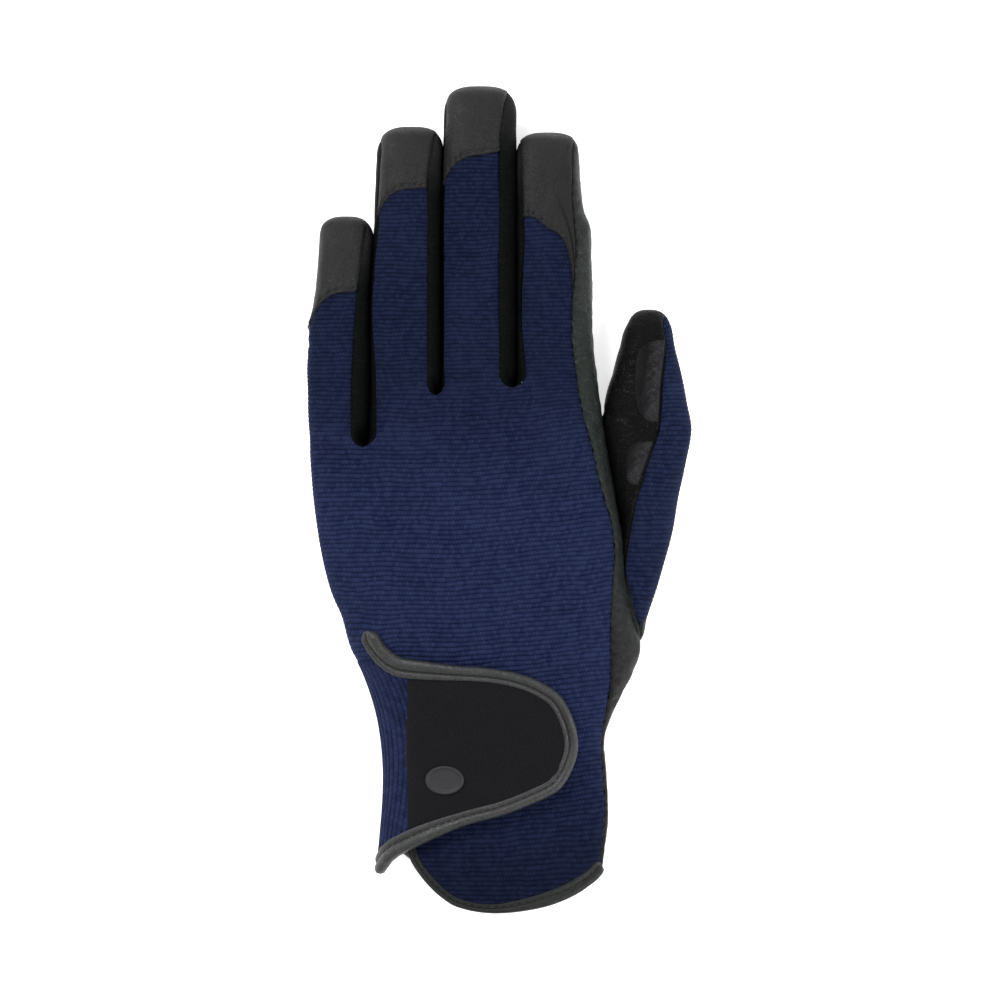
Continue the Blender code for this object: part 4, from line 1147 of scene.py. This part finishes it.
def strap_rim():
    """The strap's rolled leather binding, from its lower tail round the end to the hooked start above."""
    turn = STRAP_END - RIM - STRAP_ROUND
    bend = turn + STRAP_ROUND * np.sin(np.linspace(0.03, PI / 2, 40))
    lower = np.concatenate([np.linspace(-26.0, turn, 50), bend])
    upper = np.concatenate([bend[::-1][1:], np.linspace(turn, -25.2, 50)])
    tail = [(-34.3, -103.6), (-33.5, -101.8), (-31.9, -99.2), (-29.3, -96.9)]
    hook = [(-28.2, -46.6), (-30.6, -45.3), (-32.8, -43.5), (-34.6, -41.4), (-35.9, -39.2), (-36.7, -37.4),
            (-37.0, -36.4)]
    path = np.concatenate([tail, np.stack([lower, strap_edges(lower, RIM)[0]], -1),
                           np.stack([upper, strap_edges(upper, RIM)[1]], -1), hook])
    points = over_wrist(path[:, 0], path[:, 1], STRAP_LIFT + STRAP_SHEET / 2 + 0.1)
    points[:, 2] += 0.9 * smooth((points[:, 1] + 47.5) / 4.0) * smooth((-27.0 - points[:, 0]) / 3.0)
    points = resample(points, 0.9)[0]
    wide = 1.0 + 0.34 * smooth((-8.0 - points[:, 0]) / 18.0)
    add_binding("strap_edge_binding", points, normals_over(points), STRAP_TURN, "strap_binding", BINDING,
                width=2 * RIM, thickness=3.1, seed=11, wide=wide)


def flap_hem():
    """The binding of the wrist flap's free edge."""
    y = np.linspace(-52.0, -94.0, 40)
    x = np.concatenate([np.linspace(-25.1, -20.0, 24), np.linspace(-19.5, 28.2, 60)])
    x, y = np.concatenate([FLAP_LEFT(y), x]), np.concatenate([y, FLAP_LOW(x)])
    points = resample(over_wrist(x, y, -0.30), 0.9)[0]
    wide = 0.85 + 0.55 * smooth((points[:, 0] + 6.0) / 22.0)
    add_binding("flap_edge_binding", points, normals_over(points), "hand", "flap_binding", BINDING_SHADED,
                width=3.1, thickness=2.8, seed=12, wide=wide)


def palm_hem():
    """The binding of the palm side's hem."""
    angle = np.linspace(2 * PI + 0.1, PI + 0.15, 90)
    y = np.full(90, WRIST_END)
    for _ in range(3):
        y = PALM_HEM(HAND.point(y, angle)[:, 0])
    points, out = HAND.point(y - 0.3, angle, 0.55), HAND.point(y - 0.3, angle, -0.5)
    normals = unit(out - points)
    points[:, 2] = np.maximum(points[:, 2], 1.45)
    add_binding("palm_edge_binding", points, normals, "hand", "palm_hem_binding", BINDING,
                width=3.0, thickness=2.5, seed=13, wide=np.ones(len(points)))


def badge():
    """A plain oval badge pressed into the pad, with no marking."""
    angles = np.linspace(0, 2 * PI, 65)[:-1]
    radius = np.array([0.02, 0.3, 0.6, 0.76, 0.80, 0.84, 0.92, 0.97, 1.0, 1.0])[:, None]
    height = np.array([0.30, 0.30, 0.30, 0.30, 0.40, 0.62, 0.66, 0.58, 0.30, -0.3])[:, None]
    x, y = -15.4 + 5.4 * radius * np.cos(angles), -78.0 + 4.0 * radius * np.sin(angles)
    p = over_wrist(x, y, STRAP_LIFT + STRAP_SHEET)
    p[..., 2] += height + 0.45
    place(grid_object("strap_badge", p, BADGE, p - [0, 0, 5.0], (x, y), wrap=True), "strap", ())


# ---------------------------------------------------------------------------- stage

def area_light(name, place_at, size, power):
    """A round light that points at the origin. Its place and size are in metres."""
    data = bpy.data.lights.new(name, "AREA")
    data.shape, data.size, data.energy = "DISK", size, power
    obj = bpy.data.objects.new(name, data)
    obj.location = place_at
    obj.rotation_euler = (-Vector(place_at)).to_track_quat("-Z", "Y").to_euler()
    bpy.context.scene.collection.objects.link(obj)


def stage():
    white = Build("floor_white").shade({"Base Color": (0.92, 0.92, 0.92), "Roughness": 0.9,
                                        "Emission Color": (1.0, 1.0, 1.0), "Emission Strength": 0.6})
    side = 3e3
    corners = [(-side, -side, 0.0), (side, -side, 0.0), (side, side, 0.0), (-side, side, 0.0)]
    floor = mesh_object("floor", corners, [(0, 1, 2, 3)], white)
    scene = bpy.context.scene
    scene.world = bpy.data.worlds.new("studio")
    scene.world.use_nodes = True
    background = scene.world.node_tree.nodes["Background"].inputs
    background["Color"].default_value, background["Strength"].default_value = (1.0, 1.0, 1.0, 1.0), 0.72
    scene.view_settings.view_transform = "Standard"
    area_light("key", (-0.55, 0.55, 0.75), 0.6, 11.0)
    area_light("fill", (0.75, -0.35, 0.65), 0.7, 8.0)
    camera = bpy.data.cameras.new("camera")
    camera.lens, camera.sensor_width, camera.clip_end = 200.0, 36.0, 20.0
    obj = bpy.data.objects.new("camera", camera)
    obj.location = (0.0, 0.0, 0.28 / 0.18 + 0.012)   # a view 0.28 m wide at the glove's middle height
    scene.collection.objects.link(obj)
    scene.camera = obj


stage()
for finger in NAMES:
    finger_back(finger)
    finger_cap(finger)
    finger_front(finger)
for fork in range(3):
    finger_wall(NAMES[fork], fork, True)
    finger_wall(NAMES[fork + 1], fork, False)
index_side()
for finger in NAMES:
    finger_lining(finger, FINGERS[finger]["base"] + 3.0)
hand_back()
hand_palm()
hand_side()
hand_lining()
thumb_knit()
thumb_leather()
thumb_grip("lower", first=4.0, last=16.5, left=35.0, motion="thumb_lower")
thumb_grip("upper", first=21.5, last=45.0, left=37.5, motion=MOTIONS["thumb"][1])
finger_lining("thumb", -30.0)
palm_patch("palm_patch_rein", centre=(-28.0, -8.0), half_size=(15.0, 22.0), bottom_share=0.6)
palm_patch("palm_patch_index", centre=(14.0, 4.0), half_size=(10.0, 20.0), bottom_share=0.75)
strap_pad()
strap_tab()
closure("hook", first=-8.0, lift=STRAP_LIFT - 0.3, inset=6.0, fabric=HOOK, body="strap")
closure("loop", first=-16.0, lift=1.0, inset=7.0, fabric=LOOP, body="hand")
strap_rim()
flap_hem()
palm_hem()
badge()
